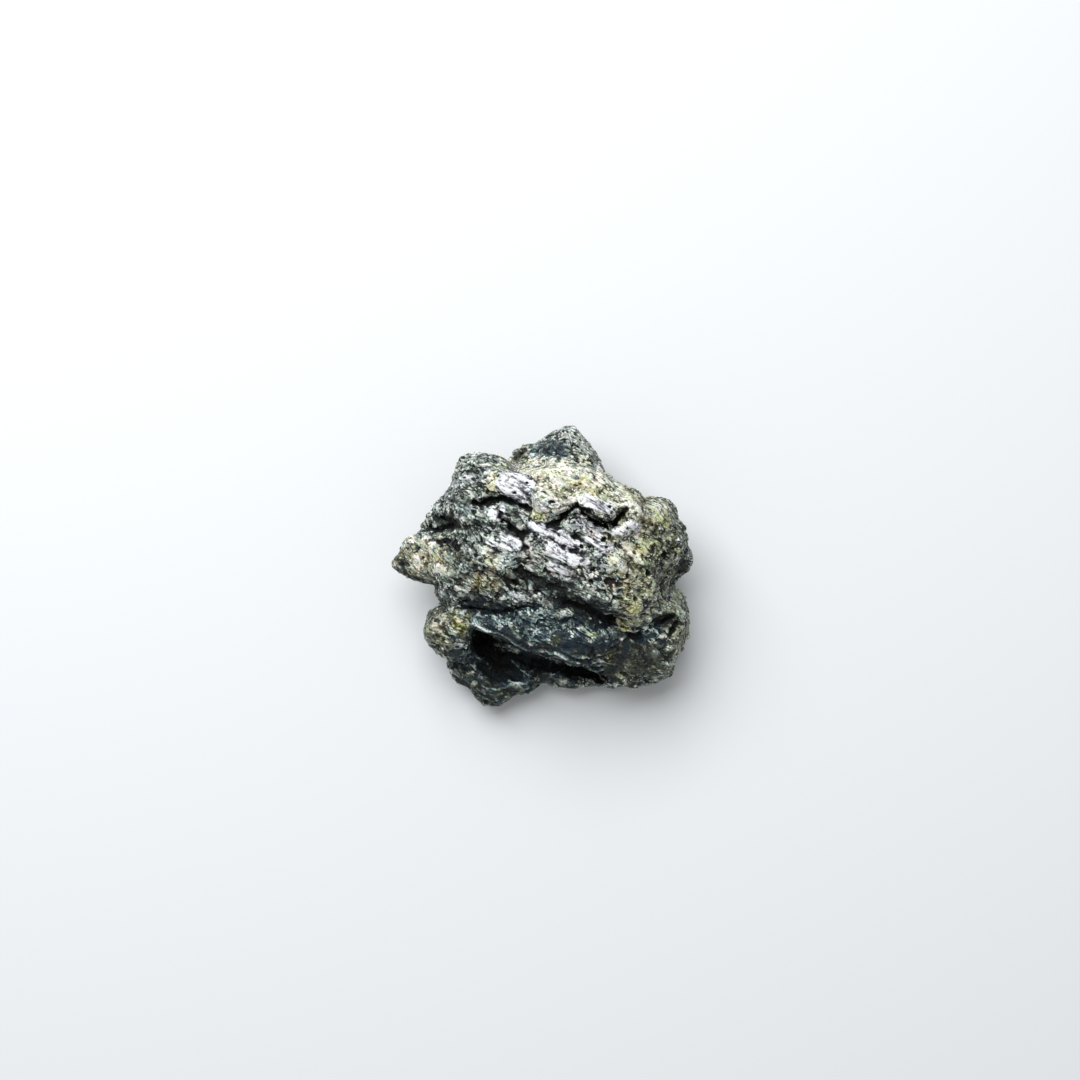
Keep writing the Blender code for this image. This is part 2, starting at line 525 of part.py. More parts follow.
def fit_outline(obj):
    # The rim of the stone is drawn out or in until the stone fills its outline from above.
    points = read_vectors(obj.data.vertices, "co")
    sectors = OUTLINE_SECTORS
    angles = np.arctan2(points[:, 1], points[:, 0])
    distances = np.hypot(points[:, 0], points[:, 1])
    sector = np.round((angles / math.tau + 0.5) * sectors).astype(int) % sectors
    reached = np.array([distances[sector == step].max() for step in range(sectors)])
    wanted = np.array([reach_of_outline((step / sectors - 0.5) * math.tau) for step in range(sectors)])
    ratio = wanted / reached
    ratio = (np.roll(ratio, 1) + 2.0 * ratio + np.roll(ratio, -1)) / 4.0
    nearness = np.clip((distances / reached[sector] - RIM_START) / RIM_WIDTH, 0.0, 1.0)
    weight = nearness * nearness * (3.0 - 2.0 * nearness)
    position = (angles / math.tau + 0.5) * sectors
    lower = np.floor(position).astype(int)
    blend = position - lower
    between = ratio[lower % sectors] * (1.0 - blend) + ratio[(lower + 1) % sectors] * blend
    points[:, :2] *= (1.0 + (between - 1.0) * weight)[:, None]
    write_points(obj, points)


def reduce_triangles(obj):
    count = sum(len(face.vertices) - 2 for face in obj.data.polygons)
    reducing = obj.modifiers.new("Reduce", "DECIMATE")
    reducing.ratio = TRIANGLE_BUDGET / count
    apply_modifiers(obj)


def cut_foot(obj):
    # A flat spot to rest on, cut straight across at the height of the ground.
    middle = (0.0, 0.0, -GROUND_BLOCK.z / 2)
    bpy.ops.mesh.primitive_cube_add(size=1.0, location=middle, scale=GROUND_BLOCK)
    ground = bpy.context.object
    cut = obj.modifiers.new("Foot", "BOOLEAN")
    cut.operation = "DIFFERENCE"
    cut.solver = "EXACT"
    cut.object = ground
    apply_modifiers(obj)
    bpy.data.objects.remove(ground)


def drop_crumbs(obj):
    # Whatever the cut has separated from the stone goes.
    bm = bmesh.new()
    bm.from_mesh(obj.data)
    waiting = set(bm.verts)
    bodies = []
    while waiting:
        body = {waiting.pop()}
        edge_of_body = set(body)
        while edge_of_body:
            reached = {edge.other_vert(vert) for vert in edge_of_body for edge in vert.link_edges}
            edge_of_body = reached - body
            body |= edge_of_body
        waiting -= body
        bodies.append(body)
    bodies.sort(key=len)
    for body in bodies[:-1]:
        bmesh.ops.delete(bm, geom=list(body), context="VERTS")
    bm.to_mesh(obj.data)
    bm.free()


def centre(obj):
    points = read_vectors(obj.data.vertices, "co")
    middle = (points.min(axis=0) + points.max(axis=0)) / 2
    write_points(obj, points - np.array([middle[0], middle[1], 0.0]))


def to_metres(obj):
    points = read_vectors(obj.data.vertices, "co")
    points *= STONE_LENGTH / DRAWN_LENGTH
    points[:, 2] *= HEIGHT_STRETCH
    write_points(obj, points)


def stone_material():
    material = bpy.data.materials.new("epidote")
    material.use_nodes = True
    shader = material.node_tree.nodes["Principled BSDF"]
    shader.inputs["Base Color"].default_value = STONE_COLOUR
    shader.inputs["Roughness"].default_value = STONE_ROUGHNESS
    shader.inputs["Metallic"].default_value = 0.0
    return material


def build():
    clear_scene()
    bm = bmesh.new()
    for mass in MASSES.values():
        add_mass(bm, mass)
    stone = object_of("epidote_stone", bm)
    fuse(stone, 5)

    bm = bmesh.new()
    bm.from_mesh(stone.data)
    add_small_crystals(bm, stone)
    bm.to_mesh(stone.data)
    bm.free()
    fuse(stone, 1)
    raise_lumps(stone)
    raise_layers(stone)
    flatten_faces(stone, *FACE_PASSES[0])

    bm = bmesh.new()
    bm.from_mesh(stone.data)
    for crystal in CRYSTALS.values():
        turn = Euler([math.radians(angle) for angle in crystal["turn"]]).to_matrix()
        middle = surface_below(stone, crystal["middle"]) + Vector((0.0, 0.0, crystal["rise"]))
        add_crystal(bm, middle, crystal["size"], turn)
    bm.to_mesh(stone.data)
    bm.free()
    fuse(stone, 1)
    carve_hollows(stone)
    flatten_faces(stone, *FACE_PASSES[1])
    fit_outline(stone)
    fuse(stone, 1)
    reduce_triangles(stone)
    cut_foot(stone)
    drop_crumbs(stone)
    centre(stone)
    to_metres(stone)

    stone.data.name = "epidote_stone"
    stone.data.materials.clear()
    stone.data.materials.append(stone_material())
    bpy.context.scene.collection.objects.unlink(stone)
    collection = bpy.data.collections.new("rough_epidote")
    bpy.context.scene.collection.children.link(collection)
    collection.objects.link(stone)


build()
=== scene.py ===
import json
import math

import bmesh
import bpy
import numpy as np
from mathutils import Euler, Matrix, Vector
from mathutils.bvhtree import BVHTree

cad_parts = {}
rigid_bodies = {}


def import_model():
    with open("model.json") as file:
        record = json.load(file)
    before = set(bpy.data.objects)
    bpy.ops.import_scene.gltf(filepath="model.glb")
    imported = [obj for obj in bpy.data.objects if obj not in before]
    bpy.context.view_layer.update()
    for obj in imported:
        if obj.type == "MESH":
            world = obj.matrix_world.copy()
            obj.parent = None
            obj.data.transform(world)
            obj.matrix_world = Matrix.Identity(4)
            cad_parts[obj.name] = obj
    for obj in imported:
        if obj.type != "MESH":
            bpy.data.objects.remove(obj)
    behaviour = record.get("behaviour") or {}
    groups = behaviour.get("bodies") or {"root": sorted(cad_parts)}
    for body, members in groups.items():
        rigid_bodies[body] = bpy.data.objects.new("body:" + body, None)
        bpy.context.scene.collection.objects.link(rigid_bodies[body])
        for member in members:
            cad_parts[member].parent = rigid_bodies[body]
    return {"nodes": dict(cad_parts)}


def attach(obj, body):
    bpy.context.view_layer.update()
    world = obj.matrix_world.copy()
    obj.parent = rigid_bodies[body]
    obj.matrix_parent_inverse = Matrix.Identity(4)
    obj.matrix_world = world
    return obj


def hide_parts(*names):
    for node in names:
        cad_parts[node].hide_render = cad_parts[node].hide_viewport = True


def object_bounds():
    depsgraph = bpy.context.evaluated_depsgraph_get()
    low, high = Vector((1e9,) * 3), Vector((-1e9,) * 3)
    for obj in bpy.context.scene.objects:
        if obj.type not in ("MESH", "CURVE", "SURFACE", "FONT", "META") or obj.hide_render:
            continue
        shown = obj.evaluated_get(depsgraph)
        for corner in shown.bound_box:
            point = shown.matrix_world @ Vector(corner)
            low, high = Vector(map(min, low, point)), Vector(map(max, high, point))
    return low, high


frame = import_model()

cadBox = [list(corner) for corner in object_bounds()]
nodeName = "epidote_stone"
print("stage: frame loaded")


# Lengths below are in millimetres unless a comment says otherwise. The stone is worked at that
# scale, because the modelling tools round small numbers off, and goes back to metres at the end.
millimetre = 0.001
crystalHeading = -31   # degrees in plan, the way that the crystals and their streaks run
crystalDip = -0.08     # how far they point down, for each unit of length


def linearColour(hexColour):
    # sRGB hex to the linear values that Blender's sockets take
    parts = [int(hexColour[place:place + 2], 16) / 255 for place in (1, 3, 5)]
    linear = [part / 12.92 if part <= 0.04045 else ((part + 0.055) / 1.055) ** 2.4 for part in parts]
    return (*linear, 1.0)


def addNode(tree, kind, values=None):
    # A value goes to the input of that name or number, or else to the node itself. A socket is linked.
    node = tree.nodes.new(kind)
    values = values or {}
    for name, value in values.items():
        if not isinstance(name, int) and name not in node.inputs:
            setattr(node, name, value)
    for name, value in values.items():
        if isinstance(value, bpy.types.NodeSocket):
            tree.links.new(value, node.inputs[name])
        elif isinstance(name, int) or name in node.inputs:
            node.inputs[name].default_value = value
    return node


def weightedSum(tree, total, terms):
    # The total plus each source times its weight, where any of them is a number or a socket
    for source, weight in terms:
        total = addNode(tree, "ShaderNodeMath", {
            "operation": "MULTIPLY_ADD", 0: source, 1: weight, 2: total}).outputs[0]
    return total


def readVectors(items, name):
    values = np.zeros(len(items) * 3, np.float32)
    items.foreach_get(name, values)
    return values.reshape(-1, 3).astype(float)


def readValues(mesh, name):
    values = np.zeros(len(mesh.attributes[name].data), np.float32)
    mesh.attributes[name].data.foreach_get("value", values)
    return values.astype(float)


def writeValues(mesh, name, values):
    layer = mesh.attributes.get(name) or mesh.attributes.new(name, "FLOAT", "POINT")
    layer.data.foreach_set("value", values.astype(np.float32))


def writePoints(piece, points):
    piece.data.vertices.foreach_set("co", points.astype(np.float32).ravel())
    piece.data.update()


def newPiece(name, mesh):
    piece = bpy.data.objects.new(name, mesh)
    bpy.context.scene.collection.objects.link(piece)
    return piece


def meshOf(bm, name):
    mesh = bpy.data.meshes.new(name)
    bm.to_mesh(mesh)
    bm.free()
    return mesh


def wrapCorners(bm):
    # The tightest closed block round the corners, without those left inside it
    bmesh.ops.convex_hull(bm, input=list(bm.verts))
    bmesh.ops.delete(bm, geom=[vert for vert in bm.verts if not vert.link_faces], context="VERTS")


def plainMesh(piece):
    # The evaluated shape becomes the mesh itself, and the modifiers go
    graph = bpy.context.evaluated_depsgraph_get()
    mesh = bpy.data.meshes.new_from_object(piece.evaluated_get(graph))
    piece.modifiers.clear()
    piece.data = mesh


def newGeometryTree(name, inputs):
    tree = bpy.data.node_groups.new(name, "GeometryNodeTree")
    tree.interface.new_socket("Geometry", in_out="INPUT", socket_type="NodeSocketGeometry")
    for label, socketType in inputs.items():
        tree.interface.new_socket(label, in_out="INPUT", socket_type=socketType)
    tree.interface.new_socket("Geometry", in_out="OUTPUT", socket_type="NodeSocketGeometry")
    return tree


def addTreeModifier(piece, tree, values):
    modifier = piece.modifiers.new(tree.name, "NODES")
    modifier.node_group = tree
    for socket in tree.interface.items_tree:
        if socket.item_type == "SOCKET" and socket.in_out == "INPUT" and socket.name in values:
            modifier[socket.identifier] = values[socket.name]


def turnedPlace(tree, place, stretch):
    # Coordinates with x along the crystals, squeezed so that a round cell becomes a long one
    turned = addNode(tree, "ShaderNodeVectorRotate", {
        "rotation_type": "Z_AXIS", "Vector": place, "Angle": -math.radians(crystalHeading)}).outputs[0]
    return addNode(tree, "ShaderNodeVectorMath", {
        "operation": "MULTIPLY", 0: turned, 1: (1 / stretch, 1, 1)}).outputs[0]


# Pits and flecks: spots scattered by the same pattern in the relief and in the colour, so that
# each one is hollow or proud where it is dark or light
spots = {
    # spacing, widest reach as a share of the spacing, shift that keeps the patterns apart
    "pits": (0.5, 0.55, (0.0, 0.0, 0.0)),
    "holes": (1.9, 0.16, (5.3, 9.1, 7.7)),
    "flecks": (0.42, 0.45, (13.7, 5.1, 2.3)),
}
spotCore = 0.6   # share of a spot's reach inside which it is full


def spotShare(tree, cellPlace, name):
    spacing, widest, shift = spots[name]
    shifted = addNode(tree, "ShaderNodeVectorMath", {"operation": "ADD", 0: cellPlace, 1: shift}).outputs[0]
    cells = addNode(tree, "ShaderNodeTexVoronoi", {"Scale": 1 / spacing, "Vector": shifted}).outputs
    own = addNode(tree, "ShaderNodeSeparateXYZ", {0: cells["Color"]}).outputs[0]
    outer, inner = [weightedSum(tree, 0.0, [(own, reach)]) for reach in (widest, widest * spotCore)]
    return addNode(tree, "ShaderNodeMapRange", {
        "interpolation_type": "SMOOTHSTEP", 0: cells["Distance"], 1: outer, 2: inner,
        3: 0.0, 4: 1.0}).outputs[0]


# Curved lines: where a smooth noise crosses its middle, broken up by a second noise
lines = {
    # spacing, share of the noise that the line takes, shift
    "creases": (1.5, 0.045, (3.1, 7.3, 1.9)),
    "strokes": (0.75, 0.06, (11.2, 4.4, 8.6)),
    "veins": (0.95, 0.035, (2.7, 15.8, 6.1)),
}
# Share of a line's width at full strength, and where the second noise breaks it off
lineBreaks = {"core": 0.3, "scale": 0.9, "from": 0.44, "to": 0.54}


def lineShare(tree, cellPlace, name):
    spacing, width, shift = lines[name]
    shifted = addNode(tree, "ShaderNodeVectorMath", {"operation": "ADD", 0: cellPlace, 1: shift}).outputs[0]
    noise = addNode(tree, "ShaderNodeTexNoise", {
        "Vector": shifted, "Scale": 1 / spacing, "Detail": 1.0, "Distortion": 0.9}).outputs[0]
    away = addNode(tree, "ShaderNodeMath", {
        "operation": "ABSOLUTE", 0: weightedSum(tree, -0.5, [(noise, 1.0)])}).outputs[0]
    line = addNode(tree, "ShaderNodeMapRange", {
        "interpolation_type": "SMOOTHSTEP", 0: away, 1: width, 2: width * lineBreaks["core"],
        3: 0.0, 4: 1.0}).outputs[0]
    breaks = addNode(tree, "ShaderNodeTexNoise", {
        "Vector": cellPlace, "Scale": lineBreaks["scale"] / spacing, "Detail": 1.0}).outputs[0]
    kept = addNode(tree, "ShaderNodeMapRange", {
        0: breaks, 1: lineBreaks["from"], 2: lineBreaks["to"], 3: 0.0, 4: 1.0}).outputs[0]
    return weightedSum(tree, 0.0, [(line, kept)])


# Long thin streaks, wavy like fibres
streaks = {"stretch": (0.3, 1, 1), "width": 0.4, "detail": 3.0, "roughness": 0.6, "distortion": 0.8}


def streakNoise(tree, cellPlace):
    stretched = addNode(tree, "ShaderNodeVectorMath", {
        "operation": "MULTIPLY", 0: cellPlace, 1: streaks["stretch"]}).outputs[0]
    return addNode(tree, "ShaderNodeTexNoise", {
        "Vector": stretched, "Scale": 1 / streaks["width"], "Detail": streaks["detail"],
        "Roughness": streaks["roughness"], "Distortion": streaks["distortion"]}).outputs[0]


# Stone: the CAD solid at a finer grain, without the solid's triangles
stone = {
    "joinedWithin": 0.0005,
    "firstGrain": 0.22,
    "firstRounding": 5,
    "grain": 0.125,        # edge length of the mesh that takes the fine relief
    "lastRounding": 1,
    "smoothing": 0.5,
    "wellAbove": 50,
    "searched": 5,         # how far the nearest place on the solid is looked for
    "triangles": 194000,   # aim of the thinning, which ends below it
    "raised": 0.06,        # the relief swings round a surface this far outside the solid
    "proudest": 0.2,       # how far a crystal may stand out of the solid
}


def fuse(piece, grain, rounding):
    remesh = piece.modifiers.new("Fuse", "REMESH")
    remesh.mode = "VOXEL"
    remesh.voxel_size = grain
    smooth = piece.modifiers.new("Round", "SMOOTH")
    smooth.factor = stone["smoothing"]
    smooth.iterations = rounding
    plainMesh(piece)


def makeStoneBody():
    bm = bmesh.new()
    bm.from_mesh(frame["nodes"][nodeName].data)
    bmesh.ops.scale(bm, vec=(1 / millimetre,) * 3, verts=bm.verts)
    bmesh.ops.remove_doubles(bm, verts=bm.verts, dist=stone["joinedWithin"])
    piece = newPiece("stone", meshOf(bm, "stone"))
    fuse(piece, stone["firstGrain"], stone["firstRounding"])
    return piece


body = makeStoneBody()
print("stage: stone body", len(body.data.vertices))


# Blades: the named crystals with flat glassy faces. Middle in plan, rise over the surface,
# size along, across and deep, and turn about x, y and z in degrees.
blades = {
    "longBlade": ((1.5, 3.4), 0.16, (6.0, 1.1, 1.8), (6, 3, -26)),
    "lowerBlade": ((2.0, 1.35), 0.1, (3.4, 1.3, 1.6), (10, 3, -24)),
    "lowestBlade": ((3.6, 0.95), 0.1, (3.2, 0.8, 1.4), (8, 3, -22)),
    "topSliver": ((4.9, 4.75), 0.16, (3.0, 0.45, 1.4), (0, 3, -26)),
    "middleSliver": ((5.0, 3.85), 0.14, (2.8, 0.7, 1.4), (6, 3, -27)),
    "brightSliver": ((5.8, 2.5), 0.16, (3.4, 0.8, 1.5), (8, 4, -20)),
    "broadFace": ((-2.7, 9.0), 0.02, (3.8, 2.9, 2.0), (-8, 4, -30)),
    "broadFaceEdge": ((-2.9, 7.8), 0.1, (2.7, 0.75, 1.5), (-4, 4, -27)),
    "browBlock": ((5.7, 6.75), 0.0, (3.4, 1.2, 2.0), (-4, 4, -18)),
    "leftBlade": ((-3.4, 2.8), 0.06, (2.4, 1.0, 1.4), (6, -2, -22)),
    "leftSliver": ((-4.6, 2.35), 0.1, (2.6, 0.4, 1.2), (6, -2, -20)),
    "leftFace": ((-5.1, 5.7), 0.1, (1.4, 0.9, 1.2), (0, -4, -28)),
    "smallFace": ((-4.35, 6.3), 0.1, (0.8, 0.7, 1.0), (0, 0, -20)),
    "rightFace": ((9.7, 4.5), 0.06, (1.6, 0.9, 1.2), (0, 10, -24)),
    "rightFaceLow": ((8.4, 3.9), 0.08, (1.6, 0.6, 1.2), (4, 8, -16)),
    "slopeBlade": ((1.7, -0.1), 0.08, (2.6, 1.0, 1.2), (12, 2, -22)),
}
# Facets: broad smooth faces of green crystals round the rim, given in the same way
facets = {
    "rimOval": ((15.2, -6.6), 0.1, (3.2, 1.6, 1.6), (20, 52, -78)),
    "rimUpper": ((14.4, -4.2), 0.1, (4.0, 1.1, 1.4), (6, 40, -78)),
    "rimLower": ((14.2, -9.6), 0.1, (2.2, 1.2, 1.4), (26, 46, -60)),
    "cornerFace": ((13.4, -11.2), 0.1, (2.4, 1.4, 1.4), (48, 30, -30)),
    "brownFace": ((12.3, -10.2), 0.12, (1.6, 1.3, 1.4), (40, 16, -30)),
    "lobeRim": ((-12.4, -7.2), 0.1, (2.6, 1.3, 1.4), (10, -46, 78)),
    "notchCrystal": ((-9.8, -0.4), 0.2, (1.7, 0.9, 1.2), (0, -8, 4)),
    "toePlate": ((-2.6, -13.5), 0.1, (3.2, 0.7, 1.0), (40, 0, 6)),
}
# Stations along a blade, from -0.5 to 0.5 of its length, and how wide it is there
bladeStations = ((-0.5, 0.7), (-0.34, 1), (0.36, 1), (0.5, 0.7))
bladeShape = {"chamfer": 0.07, "thickest": 1.0, "unevenness": 0.05, "seed": 21}


def surfaceTree(mesh):
    return BVHTree.FromPolygons([vertex.co for vertex in mesh.vertices],
                                [tuple(face.vertices) for face in mesh.polygons])


def makeBlades(items, below, chance):
    # Each blade is a chamfered block with pointed ends, set a little above the surface
    joined = bmesh.new()
    for middle, rise, size, turn in items.values():
        bm = bmesh.new()
        chamfer = bladeShape["chamfer"] / min(size[1], bladeShape["thickest"])
        for x, across in bladeStations:
            for y, z in ((-0.5, -0.5), (-0.5, 0.5 - chamfer), (-0.5 + chamfer, 0.5), (0.5 - chamfer, 0.5),
                         (0.5, 0.5 - chamfer), (0.5, -0.5)):
                corner = Vector((x, y * across, z)) + Vector(chance.normal(0, bladeShape["unevenness"], 3))
                bm.verts.new(Vector([part * extent for part, extent in zip(corner, size)]))
        wrapCorners(bm)
        hit = below.ray_cast(Vector((*middle, stone["wellAbove"])), Vector((0, 0, -1)))[0]
        turned = Euler([math.radians(angle) for angle in turn]).to_matrix().to_4x4()
        place = hit + Vector((0, 0, rise)) - turned @ Vector((0, 0, size[2] / 2))
        bmesh.ops.transform(bm, matrix=Matrix.Translation(place) @ turned, verts=bm.verts)
        mesh = meshOf(bm, "blade")
        joined.from_mesh(mesh)
        bpy.data.meshes.remove(mesh)
    bmesh.ops.recalc_face_normals(joined, faces=joined.faces)
    return meshOf(joined, "blades")


chance = np.random.default_rng(bladeShape["seed"])
ground = surfaceTree(body.data)
bladeMesh = makeBlades(blades, ground, chance)
facetMesh = makeBlades(facets, ground, chance)
print("stage: blades")


# Crystal variants: uneven blocks that the Geometry Nodes below repeat
crystals = {"variants": 6, "unevenness": 0.16, "seed": 5}


def makeCrystalVariants(name, corners):
    chance = np.random.default_rng(crystals["seed"])
    variants = bpy.data.collections.new(name)
    for number in range(crystals["variants"]):
        bm = bmesh.new()
        for corner in corners:
            bm.verts.new(np.array(corner) * (1 + chance.normal(0, crystals["unevenness"], 3)))
        wrapCorners(bm)
        bmesh.ops.recalc_face_normals(bm, faces=bm.faces)
        variants.objects.link(bpy.data.objects.new(f"{name}{number}", meshOf(bm, f"{name}{number}")))
    return variants


# A lath is flat on top and 1 deep, a grain is a double pyramid, and both are about 1 across
lathCorners = [(x * 0.5, y * side, z) for x in (-1, 1) for y, z in ((0.42, 0.0), (0.5, -0.3), (0.4, -1.0))
               for side in (-1, 1)]
grainCorners = [(0.55, 0, 0), (-0.55, 0, 0), (0, 0.5, 0.05), (0, -0.5, -0.05), (0.05, 0, 0.5), (-0.05, 0, -0.5)]


def alongCrystals(tree, points, wobble, seed):
    # Upright on the surface, turned to the crystals' heading, then unsettled by up to the wobble
    heading = math.radians(crystalHeading)
    upright = addNode(tree, "FunctionNodeAlignRotationToVector", {
        "axis": "Z", "Vector": points.outputs["Normal"]})
    along = addNode(tree, "FunctionNodeAlignRotationToVector", {
        "axis": "X", "pivot_axis": "Z", "Vector": (math.cos(heading), math.sin(heading), crystalDip),
        "Rotation": upright.outputs["Rotation"]})
    negative = addNode(tree, "ShaderNodeVectorMath", {
        "operation": "SCALE", 0: wobble, "Scale": -1.0}).outputs[0]
    angles = addNode(tree, "FunctionNodeRandomValue", {
        "data_type": "FLOAT_VECTOR", 0: negative, 1: wobble, "Seed": seed}).outputs[0]
    byAngles = addNode(tree, "FunctionNodeEulerToRotation", {0: angles}).outputs[0]
    return addNode(tree, "FunctionNodeRotateRotation", {
        "rotation_space": "LOCAL", 0: along.outputs["Rotation"], 1: byAngles}).outputs[0]


def finishTree(tree, geometry, material):
    # Real mesh with its material, as the export needs
    realized = addNode(tree, "GeometryNodeRealizeInstances", {0: geometry}).outputs[0]
    painted = addNode(tree, "GeometryNodeSetMaterial", {0: realized, "Material": material}).outputs[0]
    addNode(tree, "NodeGroupOutput", {0: painted})
    return tree


def standOn(tree, points, variants, rotation, size):
    # One of the variants at each point
    shapes = addNode(tree, "GeometryNodeCollectionInfo", {
        "Collection": variants, "Separate Children": True, "Reset Children": True}).outputs[0]
    return addNode(tree, "GeometryNodeInstanceOnPoints", {
        "Points": points, "Instance": shapes, "Pick Instance": True,
        "Rotation": rotation, "Scale": size}).outputs[0]


seeds = {"lathTurn": 2, "grainTurn": 3, "grainSize": 8, "grainMineral": 31, "grainTone": 5}
# Laths: smaller crystals that lie along one direction, mostly sunk in the stone
laths = {
    "Spacing": 1.5,
    "Density": 4.0,   # before the spacing thins them out
    "Shortest": (1.0, 0.4, 0.9),
    "Longest": (2.8, 0.9, 1.4),
    "Sunk": -0.2,
    "Proud": 0.12,
    "Wobble": (0.2, 0.2, 0.35),
    "Seed": 4,
}


def makeLathTree(variants, material):
    tree = newGeometryTree("laths on the stone", {
        "Spacing": "NodeSocketFloat", "Density": "NodeSocketFloat", "Shortest": "NodeSocketVector",
        "Longest": "NodeSocketVector", "Sunk": "NodeSocketFloat", "Proud": "NodeSocketFloat",
        "Wobble": "NodeSocketVector", "Seed": "NodeSocketInt"})
    start = addNode(tree, "NodeGroupInput").outputs
    points = addNode(tree, "GeometryNodeDistributePointsOnFaces", {
        "distribute_method": "POISSON", "Mesh": start["Geometry"], "Distance Min": start["Spacing"],
        "Density Max": start["Density"], "Seed": start["Seed"]})
    rotation = alongCrystals(tree, points, start["Wobble"], seeds["lathTurn"])
    size = addNode(tree, "FunctionNodeRandomValue", {
        "data_type": "FLOAT_VECTOR", 0: start["Shortest"], 1: start["Longest"],
        "Seed": start["Seed"]}).outputs[0]
    rise = addNode(tree, "FunctionNodeRandomValue", {
        "data_type": "FLOAT", 2: start["Sunk"], 3: start["Proud"], "Seed": start["Seed"]}).outputs[1]
    lift = addNode(tree, "ShaderNodeVectorMath", {
        "operation": "SCALE", 0: points.outputs["Normal"], "Scale": rise}).outputs[0]
    placed = addNode(tree, "GeometryNodeSetPosition", {
        "Geometry": points.outputs["Points"], "Offset": lift}).outputs[0]
    joined = addNode(tree, "GeometryNodeJoinGeometry", {0: standOn(tree, placed, variants, rotation, size)})
    tree.links.new(start["Geometry"], joined.inputs[0])
    return finishTree(tree, joined.outputs[0], material)


def newMaterial(name):
    material = bpy.data.materials.new(name)
    material.use_nodes = True
    return material, material.node_tree, material.node_tree.nodes["Principled BSDF"]


stoneMaterial, stoneTree, stoneShader = newMaterial("epidoteMassive")
lathShapes = makeCrystalVariants("lathShape", lathCorners)
addTreeModifier(body, makeLathTree(lathShapes, stoneMaterial), laths)
plainMesh(body)
bm = bmesh.new()
for mesh in (body.data, bladeMesh, facetMesh):
    bm.from_mesh(mesh)
bm.to_mesh(body.data)
bm.free()
fuse(body, stone["grain"], stone["lastRounding"])


def keepNear(piece, inner, most):
    # Crystals that would stick out of the solid's outline are ground down to it
    for vertex in piece.data.vertices:
        hit, normal, face, distance = inner.find_nearest(vertex.co, stone["searched"])
        if hit is not None and distance > most and (vertex.co - hit).dot(normal) > 0:
            vertex.co = hit + (vertex.co - hit) * (most / distance)


keepNear(body, ground, stone["proudest"])
print("stage: blades and laths fused", len(body.data.vertices))


